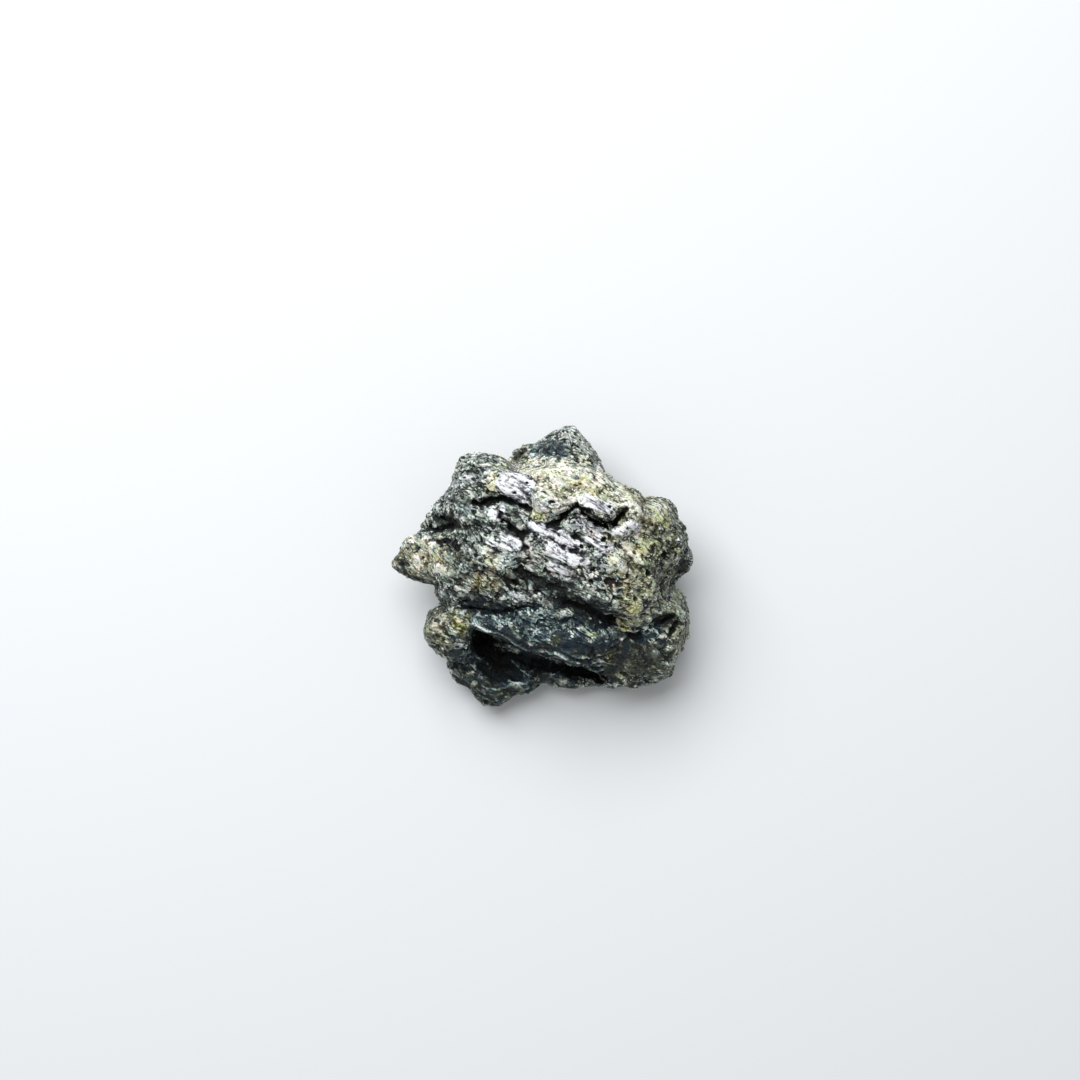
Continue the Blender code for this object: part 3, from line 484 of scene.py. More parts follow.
# Hollows: cracks and pockets, carved narrower than in the solid, and darker inside: partly the dark minerals
# there, partly painted shade. Path in plan, width, depth.
hollows = {
    "archedCrack": ([(-7.2, 6.9), (-5.6, 7.15), (-4.4, 7.5), (-3.2, 7.05), (-2.2, 6.75),
                     (-1.5, 6.5)], 0.55, 1.2),
    "browMain": ([(3.8, 6.6), (4.6, 6.1), (5.2, 5.5), (6.0, 4.95), (6.8, 4.55), (7.4, 4.6)], 0.7, 1.8),
    "browLeft": ([(1.3, 4.9), (2.0, 5.2), (2.8, 5.45), (3.4, 5.6)], 0.45, 1.2),
    "browUpper": ([(1.9, 5.75), (2.8, 6.05), (3.3, 6.5)], 0.3, 0.9),
    "browRight": ([(7.4, 4.6), (7.9, 5.1), (8.4, 5.6), (8.9, 6.2)], 0.45, 1.2),
    "bladeShade": ([(-1.2, 5.15), (0.0, 4.6), (1.3, 4.2), (2.7, 3.65), (4.3, 2.95)], 0.08, 0.5),
    "bladeUnder": ([(1.9, 2.45), (2.8, 2.0), (3.8, 1.75), (4.9, 1.2)], 0.06, 0.4),
    "leftValley": ([(-4.6, 5.5), (-3.6, 4.9), (-3.2, 4.2), (-2.5, 3.8), (-1.6, 4.1)], 0.35, 0.8),
    "valleyTail": ([(-2.5, 3.6), (-2.1, 3.0), (-1.9, 2.2)], 0.2, 0.6),
    "leftHollow": ([(-12.2, 4.4), (-11.2, 4.15), (-10.2, 4.5), (-9.3, 4.5)], 0.4, 0.9),
    "leftHollowDeep": ([(-10.6, 5.4), (-9.9, 5.0), (-9.4, 4.5)], 0.5, 0.8),
    "leftLine": ([(-11.3, 3.0), (-10.2, 2.9)], 0.25, 0.6),
    "leftBlob": ([(-9.5, 2.5), (-9.0, 2.2)], 0.4, 0.7),
    "middleFissure": ([(-1.0, -0.9), (0.0, -1.5), (1.2, -2.0), (2.6, -2.1)], 0.26, 0.5),
    "slopeFissure": ([(-4.2, -0.8), (-3.4, -1.3), (-2.8, -1.5)], 0.26, 0.5),
    "slopeLine": ([(-3.2, -0.35), (-2.2, -0.3), (-1.3, -0.5)], 0.25, 0.6),
    "lipFissure": ([(-8.6, -4.0), (-6.8, -4.3), (-5.4, -4.6), (-4.4, -4.75), (-3.2, -4.5), (-2.2, -4.05),
                    (-1.0, -4.2)], 0.42, 0.8),
    "darkPocket": ([(2.4, -3.8), (3.6, -3.8), (4.8, -4.2), (5.8, -5.0), (6.8, -5.6), (7.6, -5.4)], 0.8, 1.0),
    "pocketFoot": ([(5.6, -5.9), (6.8, -6.3), (7.6, -6.0)], 0.5, 0.6),
    "redLine": ([(7.0, -1.3), (7.8, -1.6), (8.6, -1.95)], 0.06, 0.35),
    "rightHole": ([(12.3, -5.9), (13.2, -5.7), (14.0, -5.4)], 0.6, 1.1),
    "rightHoleTail": ([(14.6, -6.0), (14.3, -6.7), (14.0, -7.3)], 0.35, 0.9),
    "underLip": ([(9.3, -7.5), (10.0, -7.6), (10.6, -7.5)], 0.4, 0.7),
    "knobShade": ([(14.9, -0.5), (15.3, 0.1), (15.4, 0.6)], 0.3, 0.4),
    "bigHollow": ([(-6.9, -8.2), (-6.2, -9.4), (-5.0, -10.6), (-3.8, -10.4)], 2.4, 2.2),
    "hollowFloor": ([(-6.6, -11.2), (-5.6, -12.2), (-4.2, -12.0), (-3.0, -12.1)], 1.4, 1.2),
    "ribHollow": ([(-2.4, -10.2), (-1.2, -10.8), (0.2, -11.0)], 1.6, 1.8),
    "frontHollow": ([(1.4, -11.1), (2.8, -11.7), (4.4, -11.9), (5.4, -12.0)], 1.1, 1.6),
    "frontPit": ([(5.8, -12.0), (6.4, -12.3)], 1.5, 2.0),
}
# Pits: small round or long holes where grains have fallen out, darker inside with painted shade. Place, length,
# width, turn.
pits = [
    (-3.0, 8.05, 0.55, 0.26, 0), (-2.1, 7.35, 0.32, 0.26, 0), (-1.6, 9.1, 0.32, 0.22, -30),
    (-1.1, 9.5, 0.3, 0.2, 0), (-5.9, 8.2, 0.42, 0.42, 0), (-6.8, 10.8, 0.3, 0.18, 0),
    (1.35, 3.9, 0.36, 0.22, 20), (1.75, 3.45, 0.2, 0.16, 0), (0.5, 3.2, 0.3, 0.16, 30),
    (1.1, 3.0, 0.3, 0.26, 0), (1.2, 2.15, 0.5, 0.14, -10), (4.15, 2.3, 0.36, 0.2, 80), (5.2, 3.9, 0.36, 0.3, 0),
    (6.5, 3.1, 0.5, 0.4, 0), (7.1, 3.3, 0.5, 0.22, 70), (6.8, 2.3, 0.38, 0.22, 0), (7.8, 2.6, 0.3, 0.3, 0),
    (5.0, 2.3, 0.3, 0.2, -20), (7.1, 6.5, 0.3, 0.3, 0), (7.6, 6.2, 0.24, 0.2, 0), (1.1, 7.1, 0.6, 0.26, 0),
    (6.05, 8.1, 0.26, 0.24, 0), (6.1, -1.2, 0.34, 0.3, 0), (5.1, -1.4, 0.26, 0.2, 0), (5.3, -0.2, 0.34, 0.3, 0),
    (2.5, 0.4, 0.4, 0.24, -50), (0.6, -0.4, 0.3, 0.2, -40), (11.4, -0.5, 0.4, 0.36, 0),
    (13.1, 1.5, 0.6, 0.3, -60), (10.7, 1.35, 0.3, 0.22, 0), (2.4, 13.9, 0.7, 0.4, -10),
    (-13.8, 1.7, 0.4, 0.2, 0), (-13.0, 1.1, 0.4, 0.3, 0), (-7.3, 2.7, 0.4, 0.24, 10),
    (-7.0, 1.3, 0.6, 0.18, 10), (12.2, 4.5, 0.3, 0.24, 0), (11.8, 4.6, 0.24, 0.2, 0),
    (3.6, 8.85, 0.5, 0.14, -15), (4.4, 8.6, 0.4, 0.12, -20), (0.2, 11.0, 0.3, 0.2, -40),
    (3.9, 13.0, 0.4, 0.3, -60), (4.9, 11.6, 0.5, 0.26, -60), (-1.5, 1.0, 0.4, 0.3, 0), (-2.0, 0.5, 0.4, 0.3, 0),
]
# How the banks fall away: how ragged they are, how far they and the painted shade reach past the hollow's
# edge, and the width of the slope, which also grows with the hollow
banks = {"raggedness": 0.1, "spacing": 1.1, "seed": 3, "reach": 0.17, "slope": 0.26,
         "darkReach": 0.2, "darkSlope": 0.2, "widening": 0.3, "rounding": 2}
pitShape = {"depth": 0.4, "reach": 1.2, "slope": 0.6}
# Ridges: thin edges of layers that stand out under the ledge and on the toe, painted lighter as painted
# highlight on their edges. Path, width, height.
ridges = {
    "brow": ([(-8.2, -5.9), (-7.0, -6.3), (-6.0, -6.85), (-5.0, -7.05), (-4.2, -7.25), (-3.4, -7.8),
              (-2.8, -8.3), (-1.8, -8.8), (-0.8, -9.0), (0.6, -9.05), (1.8, -9.3), (3.0, -10.0),
              (3.9, -10.3)], 0.17, 0.24),
    "secondLayer": ([(2.2, -8.9), (3.0, -9.2), (3.6, -9.6), (4.8, -9.6), (5.4, -9.95), (6.6, -10.2),
                     (8.0, -10.6)], 0.2, 0.22),
    "thirdLayer": ([(-0.2, -9.8), (0.4, -10.0), (1.2, -10.3), (2.0, -10.3)], 0.16, 0.2),
    "fourthLayer": ([(2.6, -10.4), (3.8, -10.8), (4.6, -10.7)], 0.16, 0.2),
    "fifthLayer": ([(4.8, -10.8), (5.8, -11.3), (6.7, -11.35)], 0.16, 0.2),
    "rib": ([(-3.4, -10.5), (-2.8, -11.2), (-2.0, -11.8), (-1.2, -12.25), (-0.4, -12.6)], 0.22, 0.26),
    "ribEnd": ([(1.0, -12.0), (1.8, -11.8), (2.4, -11.4)], 0.2, 0.2),
    "lipEdge": ([(8.2, -6.2), (8.9, -6.85), (10.4, -7.0), (11.3, -6.6), (11.6, -6.0)], 0.2, 0.22),
    "bumpEdge": ([(7.6, -8.5), (8.6, -7.8), (9.2, -7.3), (9.8, -7.05)], 0.16, 0.16),
    "toeTop": ([(-7.6, -12.95), (-6.5, -13.5), (-5.2, -13.75), (-4.2, -13.5), (-3.2, -13.0),
                (-1.8, -13.1)], 0.2, 0.22),
    "toeLayer": ([(-7.4, -13.6), (-6.4, -14.2), (-5.2, -14.4), (-4.4, -14.1)], 0.16, 0.18),
    "toeFoot": ([(-7.0, -14.4), (-6.0, -14.9), (-5.0, -14.9)], 0.14, 0.14),
    "holeEdge": ([(10.9, -8.3), (11.5, -7.6), (11.9, -6.8)], 0.14, 0.16),
    "holeFin": ([(12.3, -8.0), (12.6, -7.2), (12.9, -6.7)], 0.14, 0.2),
    "rimLine": ([(14.9, -8.0), (15.0, -6.6), (15.6, -5.4)], 0.14, -0.2),
}


def meshEdges(mesh):
    edges = np.zeros(len(mesh.edges) * 2, np.int32)
    mesh.edges.foreach_get("vertices", edges)
    return edges.reshape(-1, 2)


def smoothed(values, edges, steps):
    # Each value moves half way to the mean of its neighbours
    count = np.maximum(np.bincount(edges.ravel(), minlength=len(values)), 1)
    for step in range(steps):
        for axis in range(values.shape[1]):
            near = np.bincount(edges[:, 0], weights=values[edges[:, 1], axis], minlength=len(values))
            near += np.bincount(edges[:, 1], weights=values[edges[:, 0], axis], minlength=len(values))
            values[:, axis] = (values[:, axis] + near / count) / 2
    return values


def nearPath(points, path):
    nearest = np.full(len(points), 1e9)
    for start, end in zip(path[:-1], path[1:]):
        start = np.array(start)
        along = np.array(end) - start
        share = np.clip((points - start) @ along / (along @ along), 0, 1)
        nearest = np.minimum(nearest, np.linalg.norm(points - start - share[:, None] * along, axis=1))
    return nearest


def turnedPlan(points, middle, turn):
    # Distances in plan from a middle, along and across a direction in degrees
    angle = math.radians(turn)
    offset = points[:, :2] - np.array(middle)
    along = offset[:, 0] * math.cos(angle) + offset[:, 1] * math.sin(angle)
    return along, offset[:, 1] * math.cos(angle) - offset[:, 0] * math.sin(angle)


def noiseField(points, spacing, seed, waves=14):
    # Smooth noise from a few seeded waves, between about -1 and 1
    chance = np.random.default_rng(seed)
    total = np.zeros(len(points))
    for wave in range(waves):
        direction = chance.normal(0, 1, 3)
        direction *= chance.uniform(0.6, 1.6) * math.tau / spacing / np.linalg.norm(direction)
        total += np.sin(points @ direction + chance.uniform(0, math.tau))
    return total / math.sqrt(waves / 2)


# How the upward part of a face's normal turns into its share of what is painted or carved there
upward = {"carvedFrom": 0.2, "carvedGain": 3, "zoneGain": 2.2, "zoneShift": 0.5, "bladeGain": 4,
          "bladeShift": -0.8, "wornBelow": 0.6}


def carve(piece):
    # Straight down into the faces that look up, with ragged banks; the hollows and pits are also marked for
    # painted shade, the ridges for painted highlight
    points = readVectors(piece.data.vertices, "co")
    normals = readVectors(piece.data.vertices, "normal")
    facingUp = np.clip((normals[:, 2] - upward["carvedFrom"]) * upward["carvedGain"], 0, 1)
    ragged = noiseField(points, banks["spacing"], banks["seed"]) * banks["raggedness"]
    shade = np.zeros(len(points))
    down = np.zeros(len(points))
    for path, width, depth in hollows.values():
        distance = nearPath(points[:, :2], path)
        widening = banks["widening"] * width
        inside = width / 2 + ragged + banks["reach"] - distance
        down = np.maximum(down, np.clip(inside / (banks["slope"] + widening), 0, 1) * depth)
        inside = width / 2 + ragged + banks["darkReach"] - distance
        shade = np.maximum(shade, np.clip(inside / (banks["darkSlope"] + widening), 0, 1))
    for x, y, length, width, turn in pits:
        along, across = turnedPlan(points, (x, y), turn)
        away = np.hypot(along / (length / 2), across / (width / 2))
        inside = np.clip((pitShape["reach"] + ragged * 2 - away) / pitShape["slope"], 0, 1)
        down = np.maximum(down, inside * pitShape["depth"])
        shade = np.maximum(shade, inside)
    down = smoothed((down * facingUp)[:, None], meshEdges(piece.data), banks["rounding"])[:, 0]
    points[:, 2] -= down
    lift = np.zeros(len(points))
    for path, width, height in ridges.values():
        inside = np.clip(1 - nearPath(points[:, :2], path) / width, 0, 1)
        lift = np.maximum(lift, inside * height)
    writePoints(piece, points + normals * lift[:, None])
    ridge = lift / max(height for path, width, height in ridges.values())
    # hollow darkens the colour with painted shade, partly the dark minerals there; ridge lightens it with
    # painted highlight
    writeValues(piece.data, "hollow", shade * facingUp * (1 - ridge))
    writeValues(piece.data, "ridge", ridge)


carve(body)
print("stage: hollows")


# Zones: where the minerals lie, as patches seen from above (middle, reach, turn in degrees, share).
# The pale and dark patches also carry painted light and shade, as noted at each.
zones = {
    # Pale: partly pale minerals, partly painted light on the top that faces the lamp
    "pale": [
        ((2.0, 9.2), (5.0, 2.4), -18, 1.05), ((6.6, 8.0), (3.6, 1.6), -20, 0.9),
        ((10.4, 5.6), (3.2, 2.0), -24, 0.6), ((0.2, 6.5), (2.4, 1.7), 0, 1.1),
        ((14.8, -3.0), (1.5, 2.6), 0, 0.4), ((9.4, 2.9), (2.2, 1.5), 0, 1.3),
        ((12.2, 5.4), (1.8, 1.6), -30, 0.8), ((9.4, -1.4), (1.8, 1.4), 10, 0.1),
        ((4.2, 13.4), (1.4, 1.6), 30, 0.6), ((-4.2, 0.2), (1.6, 0.9), -20, 0.6),
        ((-1.8, 8.6), (2.2, 1.8), -30, 0.4), ((9.6, -3.6), (2.4, 1.6), 0, 0.55),
        ((9.6, -6.2), (1.8, 0.8), 0, 0.35), ((-12.4, 1.0), (2.4, 1.6), 10, 0.8),
        ((-11.6, -0.8), (1.6, 1.0), 30, 0.6), ((-10.2, -6.2), (1.8, 1.6), 0, 0.45),
        ((-8.6, -10.0), (0.9, 0.7), 0, 0.8), ((-9.0, -2.8), (1.0, 0.8), 0, 0.8),
        ((5.0, 1.0), (3.4, 1.6), -30, 0.45), ((-4.4, 0.8), (2.4, 1.4), -20, 1.3),
        ((-4.6, 4.2), (1.6, 1.2), -30, 0.5), ((-3.8, 11.1), (1.4, 0.6), -20, 0.9),
        ((6.6, 0.0), (2.4, 1.4), -30, 0.7), ((-2.4, -13.7), (1.8, 0.3), 5, 0.2),
        ((13.0, 5.6), (1.4, 1.4), 0, 0.5), ((-6.6, 9.8), (2.4, 1.8), 0, 0.3),
        ((0.4, 0.8), (3.4, 1.6), -25, 0.7), ((3.4, 3.2), (4.4, 1.8), -27, 0.5),
        ((-6.6, 2.2), (2.4, 1.8), 0, 0.3),
    ],
    "yellow": [
        ((1.8, 9.4), (5.6, 2.9), -20, 0.85), ((7.0, 7.8), (4.6, 2.4), -24, 0.85),
        ((11.2, 5.0), (3.6, 3.2), -24, 1.0), ((-0.6, 5.8), (1.2, 0.9), 0, 0.9),
        ((-5.3, 9.6), (1.0, 1.7), 10, 0.6), ((10.2, 0.0), (3.2, 4.0), 10, 0.95),
        ((9.2, -4.4), (2.6, 2.6), 10, 0.8), ((-13.2, 0.9), (3.4, 2.4), 8, 0.75),
        ((-10.6, -6.8), (2.4, 2.6), 0, 0.8), ((3.4, 0.2), (2.2, 1.0), -30, 0.5),
        ((-8.9, -6.1), (0.9, 1.1), 0, 1.0), ((8.8, -6.2), (1.0, 0.8), 0, 1.0), ((9.4, 2.2), (2.0, 1.4), 0, 0.7),
        ((-6.2, -1.4), (1.8, 1.2), 0, 0.6), ((7.4, -9.8), (0.8, 0.8), 0, 0.8),
        ((-10.7, -9.2), (0.8, 0.4), -20, 0.7), ((-5.6, 1.0), (1.0, 1.4), 0, 0.7),
        ((1.2, -7.8), (0.8, 0.6), 0, 0.7), ((5.4, -7.2), (0.6, 0.5), 0, 0.7),
        ((9.0, -11.8), (1.6, 0.8), 0, 0.6),
    ],
    "olive": [
        ((13.2, 1.4), (2.2, 4.2), 0, 0.9), ((13.0, -3.0), (1.8, 2.0), 0, 0.6),
        ((10.6, -10.2), (3.6, 2.4), 0, 0.8), ((14.8, -6.5), (1.6, 5.0), 5, 0.8),
        ((13.6, -11.4), (1.4, 1.4), 0, 0.5), ((-6.6, -14.2), (2.6, 1.6), 0, 0.5),
        ((-12.6, -7.4), (0.9, 2.0), 0, 0.6), ((12.4, -10.2), (0.7, 0.7), 0, 1.0),
        ((-2.4, -13.7), (2.0, 0.5), 5, 0.8),
    ],
    "blue": [
        ((1.0, 12.8), (2.0, 1.0), 0, 0.8), ((0.0, -6.4), (6.8, 2.0), -14, 0.9),
        ((6.6, -7.6), (2.4, 1.4), -20, 0.8), ((-4.4, -9.8), (5.0, 3.6), -20, 0.8),
        ((11.8, -7.2), (1.2, 1.2), 0, 0.9), ((-6.8, -5.4), (1.8, 0.8), -10, 0.9),
        ((3.0, -11.0), (5.0, 2.0), -10, 0.6), ((7.0, -4.0), (1.6, 1.2), 0, 0.6),
        ((-3.4, 0.8), (1.2, 0.8), 0, 0.5),
    ],
    "pistachio": [
        ((-5.3, 9.6), (0.4, 1.4), 0, 0.4), ((-8.9, -6.1), (0.8, 1.0), 0, 0.6),
        ((-12.4, 1.2), (1.4, 0.7), 0, 0.35), ((8.8, -6.2), (1.0, 0.7), 0, 0.5),
        ((10.9, 2.6), (1.4, 1.6), 0, 0.4), ((9.6, -3.0), (1.6, 2.6), 0, 0.4), ((1.2, -7.8), (0.7, 0.5), 0, 0.5),
        ((5.4, -7.2), (0.6, 0.4), 0, 0.5), ((-0.6, 5.6), (0.9, 0.6), 0, 0.4),
        ((12.4, 5.2), (1.6, 1.0), -20, 0.4), ((4.4, 9.0), (2.0, 0.8), -20, 0.35),
        ((-6.4, -1.6), (1.2, 0.8), 0, 0.35), ((9.0, -11.8), (1.4, 0.7), 0, 0.4),
        ((7.4, -9.8), (0.7, 0.7), 0, 0.45), ((14.4, 2.4), (0.8, 1.4), 0, 0.3),
    ],
    "rust": [
        ((-1.2, 1.2), (1.4, 1.8), -30, 0.9), ((0.8, -0.5), (0.9, 0.6), 0, 0.8),
        ((1.1, 7.1), (0.7, 0.4), 0, 1.0), ((7.6, -1.6), (1.8, 0.5), -24, 0.9),
        ((4.2, 8.9), (1.3, 0.5), -14, 0.9), ((-7.0, -1.6), (1.4, 1.2), 0, 0.6),
        ((5.2, 3.8), (0.6, 0.6), 0, 0.9), ((-9.0, 4.6), (1.0, 0.6), 0, 0.6), ((-13.0, 1.2), (1.0, 0.5), 0, 0.6),
        ((3.6, -0.9), (1.0, 0.4), -10, 0.7), ((11.8, 4.6), (1.4, 0.9), 0, 0.6),
        ((-5.0, -0.4), (1.4, 0.5), 0, 0.6),
    ],
    # Dark: partly dark minerals, partly painted shade under the ledge, in the hollows and on the toe
    "dark": [
        ((1.2, 13.0), (1.5, 0.9), 0, 0.6), ((-2.6, 12.4), (0.8, 0.8), 0, 0.7),
        ((-10.2, 4.9), (1.8, 0.9), -10, 0.8), ((-9.4, 2.2), (1.2, 1.6), 0, 0.5),
        ((-1.0, -1.4), (4.6, 0.8), -14, 0.8), ((4.8, -4.6), (3.6, 1.4), -24, 1.0),
        ((-6.6, -4.0), (2.6, 0.7), -8, 0.9), ((-4.6, -9.9), (3.9, 2.7), -24, 1.0),
        ((-1.2, -11.4), (2.0, 1.6), 0, 1.0), ((2.8, -11.6), (4.8, 2.1), -8, 1.15),
        ((3.4, -9.6), (4.0, 1.0), -10, 0.7), ((6.4, -12.4), (1.0, 1.1), 0, 1.0),
        ((10.0, -7.8), (1.4, 0.9), 0, 0.9), ((13.2, -5.8), (1.2, 0.7), 0, 0.9),
        ((11.0, -11.2), (2.2, 1.2), 0, 0.45), ((15.4, 0.0), (0.9, 0.9), 0, 0.9),
        ((-9.2, -12.2), (1.2, 1.0), 30, 0.8), ((-2.6, 4.0), (1.2, 0.7), -10, 0.8),
        ((5.0, -8.6), (3.2, 0.9), -14, 1.0), ((-1.4, -8.6), (2.6, 0.8), -10, 0.8),
        ((9.4, -8.5), (1.8, 1.4), 0, 0.9), ((-2.0, -5.8), (0.9, 0.6), 0, 0.5),
        ((-6.8, -2.8), (1.6, 0.8), 0, 0.4), ((-4.6, -2.0), (1.0, 0.8), 0, 0.4),
        ((-7.6, 4.6), (1.2, 0.6), 0, 0.4), ((-8.8, 7.4), (1.2, 0.6), 0, 0.4),
        ((-6.2, -13.9), (3.4, 2.0), 0, 1.0), ((-1.4, -13.6), (2.6, 0.9), 5, 1.0),
        ((-2.6, -8.7), (3.0, 1.1), -22, 1.05), ((6.8, -8.8), (4.2, 1.1), -10, 0.8),
        ((-9.8, -10.8), (1.6, 1.8), -40, 0.7), ((10.2, -9.8), (3.4, 2.4), 0, 0.75),
        ((10.4, 7.6), (1.6, 0.8), -32, 0.4), ((9.6, -0.2), (1.6, 1.4), 0, 0.35),
        ((6.0, 6.5), (1.9, 0.4), -18, 0.35), ((-4.2, -7.9), (1.8, 1.1), -25, 1.0),
        ((3.4, -9.0), (3.6, 1.1), -15, 0.9), ((0.0, -10.2), (3.4, 1.1), -10, 1.2),
        ((-12.2, -6.0), (2.4, 3.6), 0, 0.4), ((-14.4, -1.2), (3.2, 1.2), -8, 0.7),
        ((-15.6, 0.6), (1.4, 1.6), 0, 0.5), ((14.8, 5.2), (1.4, 2.2), 0, 0.35),
        ((-8.4, 0.2), (2.8, 1.3), 0, 0.3), ((15.0, -2.8), (1.4, 1.0), 0, 0.1),
        ((10.0, -5.0), (1.6, 1.4), 0, 0.2), ((8.4, -8.4), (2.0, 1.0), -15, 0.6),
        ((-12.4, -3.4), (1.2, 1.6), 0, 0.3),
    ],
}
# Where the surface is rougher or smoother than elsewhere
roughness = {
    "rugged": [
        ((0, -1.6), (11.0, 2.6), -8, 1.0), ((-9.0, 3.6), (3.6, 2.6), 0, 0.8),
    ],
    "worn": [
        ((10.6, -10.0), (3.4, 2.4), 0, 0.8), ((-13.6, 0.8), (3.2, 2.6), 10, 0.9),
        ((0.0, -6.6), (7.6, 1.8), -14, 0.5), ((2.0, 9.6), (6.0, 2.6), -20, 0.4),
        ((-12.0, -7.0), (1.6, 2.4), 0, 0.8), ((15.0, -6.0), (1.6, 5.0), 5, 0.8),
        ((-5.4, -14.2), (3.0, 1.4), 0, 0.6), ((-7.2, -5.2), (1.8, 1.2), -10, 0.7),
    ],
}
zoneEdge = {"raggedness": 0.3, "spacing": 1.5, "seed": 1, "softness": 0.4}
# On the sides and below, the minerals lie in wide patches instead, each at most this strong
zoneElsewhere = {
    "pale": 0.45, "yellow": 0.5, "olive": 0.6, "blue": 0.6, "pistachio": 0.3, "rust": 0.3, "dark": 0.55,
}
elsewherePatches = {"spacing": 7, "contrast": 0.9, "firstSeed": 20}


def zoneShare(points, patches, ragged):
    share = np.zeros(len(points))
    for middle, reach, turn, most in patches:
        along, across = turnedPlan(points, middle, turn)
        distance = np.hypot(along / reach[0], across / reach[1]) + ragged
        inside = np.clip((1 + zoneEdge["softness"] - distance) / (2 * zoneEdge["softness"]), 0, 1)
        share = np.maximum(share, inside * inside * (3 - 2 * inside) * most)
    return share


def nearBlades(piece, mesh, reach):
    # 1 on the outer faces of the blades, 0 beside them
    tree = surfaceTree(mesh)
    share = np.zeros(len(piece.data.vertices))
    for vertex in piece.data.vertices:
        hit, normal, face, distance = tree.find_nearest(vertex.co, reach * 2)
        if hit is not None and normal.dot(vertex.normal) > bladeEdge["agreement"]:
            share[vertex.index] = min(1, max(0, 2 - distance / reach))
    return share


# The blades' colour: how near their faces it lies, and in plan how far their points taper, how
# ragged and how soft the edge is, and how far the stone has to face the same way
bladeEdge = {"near": 0.1, "strength": 0.6, "taper": 0.3, "longer": 0.1, "wider": 1.04,
             "raggedness": 0.5, "reach": 1.12, "softness": 0.24, "agreement": 0.4}


def bladeShare(points, ragged):
    # 1 inside the blades' outlines in plan, which are nearly straight
    share = np.zeros(len(points))
    for middle, rise, size, turn in blades.values():
        along, across = turnedPlan(points, middle, turn[2])
        along = np.abs(along) / (size[0] / 2)
        across = np.abs(across) / (size[1] / 2 * bladeEdge["wider"])
        distance = np.maximum(across, along + bladeEdge["taper"] * across - bladeEdge["longer"])
        distance += ragged * bladeEdge["raggedness"]
        share = np.maximum(share, np.clip((bladeEdge["reach"] - distance) / bladeEdge["softness"], 0, 1))
    return share


# How much each kind of place adds to or takes from the relief
roughnessWeights = {"rugged": 0.4, "pale": -0.35, "worn": -0.6, "blade": -0.75, "facet": -0.75}
# Heights over which the roughness, the zones, the relief and the grains start above the flat foot
aboveFoot = {"rough": 0.8, "zones": (2, 5), "relief": (0.05, 0.6), "grains": (0.4, 0.8)}


def paintZones(piece):
    mesh = piece.data
    points = readVectors(mesh.vertices, "co")
    normals = readVectors(mesh.vertices, "normal")
    facingUp = np.clip(normals[:, 2] * upward["zoneGain"] + upward["zoneShift"], 0, 1)
    low, high = aboveFoot["zones"]
    shownAbove = np.clip((points[:, 2] - low) / (high - low), 0, 1) * facingUp
    ragged = noiseField(points, zoneEdge["spacing"], zoneEdge["seed"]) * zoneEdge["raggedness"]
    for number, (name, patches) in enumerate(zones.items()):
        share = zoneShare(points, patches, ragged) * shownAbove
        patch = noiseField(points, elsewherePatches["spacing"], elsewherePatches["firstSeed"] + number)
        patch = np.clip(patch * elsewherePatches["contrast"], 0, 1)
        writeValues(mesh, name, share + (1 - shownAbove) * zoneElsewhere[name] * patch)
    # Blades are pale only on faces that look up: partly painted reflection on their glassy faces
    bladeTop = np.clip(normals[:, 2] * upward["bladeGain"] + upward["bladeShift"], 0, 1)
    bladeTop = bladeShare(points, ragged) * bladeTop
    shares = {
        "blade": np.maximum(nearBlades(piece, bladeMesh, bladeEdge["near"]) * bladeEdge["strength"], bladeTop),
        "facet": nearBlades(piece, facetMesh, bladeEdge["near"]),
    }
    for name, share in shares.items():
        writeValues(mesh, name, share)
    for name, patches in roughness.items():
        shares[name] = zoneShare(points, patches, ragged) * shownAbove
    # Steep places and undersides are worn too
    shares["worn"] = np.maximum(shares["worn"], np.clip(upward["wornBelow"] - normals[:, 2], 0, 1))
    rough = 1 + roughnessWeights["rugged"] * shares["rugged"]
    rough += roughnessWeights["pale"] * readValues(mesh, "pale")
    for name in ("worn", "blade", "facet"):
        rough = rough * (1 + roughnessWeights[name] * shares[name])
    writeValues(mesh, "rough", rough * np.clip(points[:, 2] / aboveFoot["rough"], 0, 1))


paintZones(body)
print("stage: zones")


# Relief: interlocking crystals of three sizes, each with its own height and tilt
relief = {
    "Large Size": 2.1, "Large Tilt": 0.13, "Large Lift": 0.07, "Large Gap": 0.05,
    "Medium Size": 0.9, "Medium Tilt": 0.16, "Medium Lift": 0.04, "Medium Gap": 0.04,
    "Small Size": 0.4, "Small Tilt": 0.1, "Small Lift": 0.015, "Small Gap": 0.0,
    "Pit Depth": 0.08, "Hole Depth": 0.2, "Fleck Height": 0.03, "Crease Depth": 0.16, "Streak Height": 0.16,
    "Raised": stone["raised"],
}
cellStretch = 1.7   # length of a crystal over its width
gapWidth = 0.2      # of the gap between crystals, as a share of their size


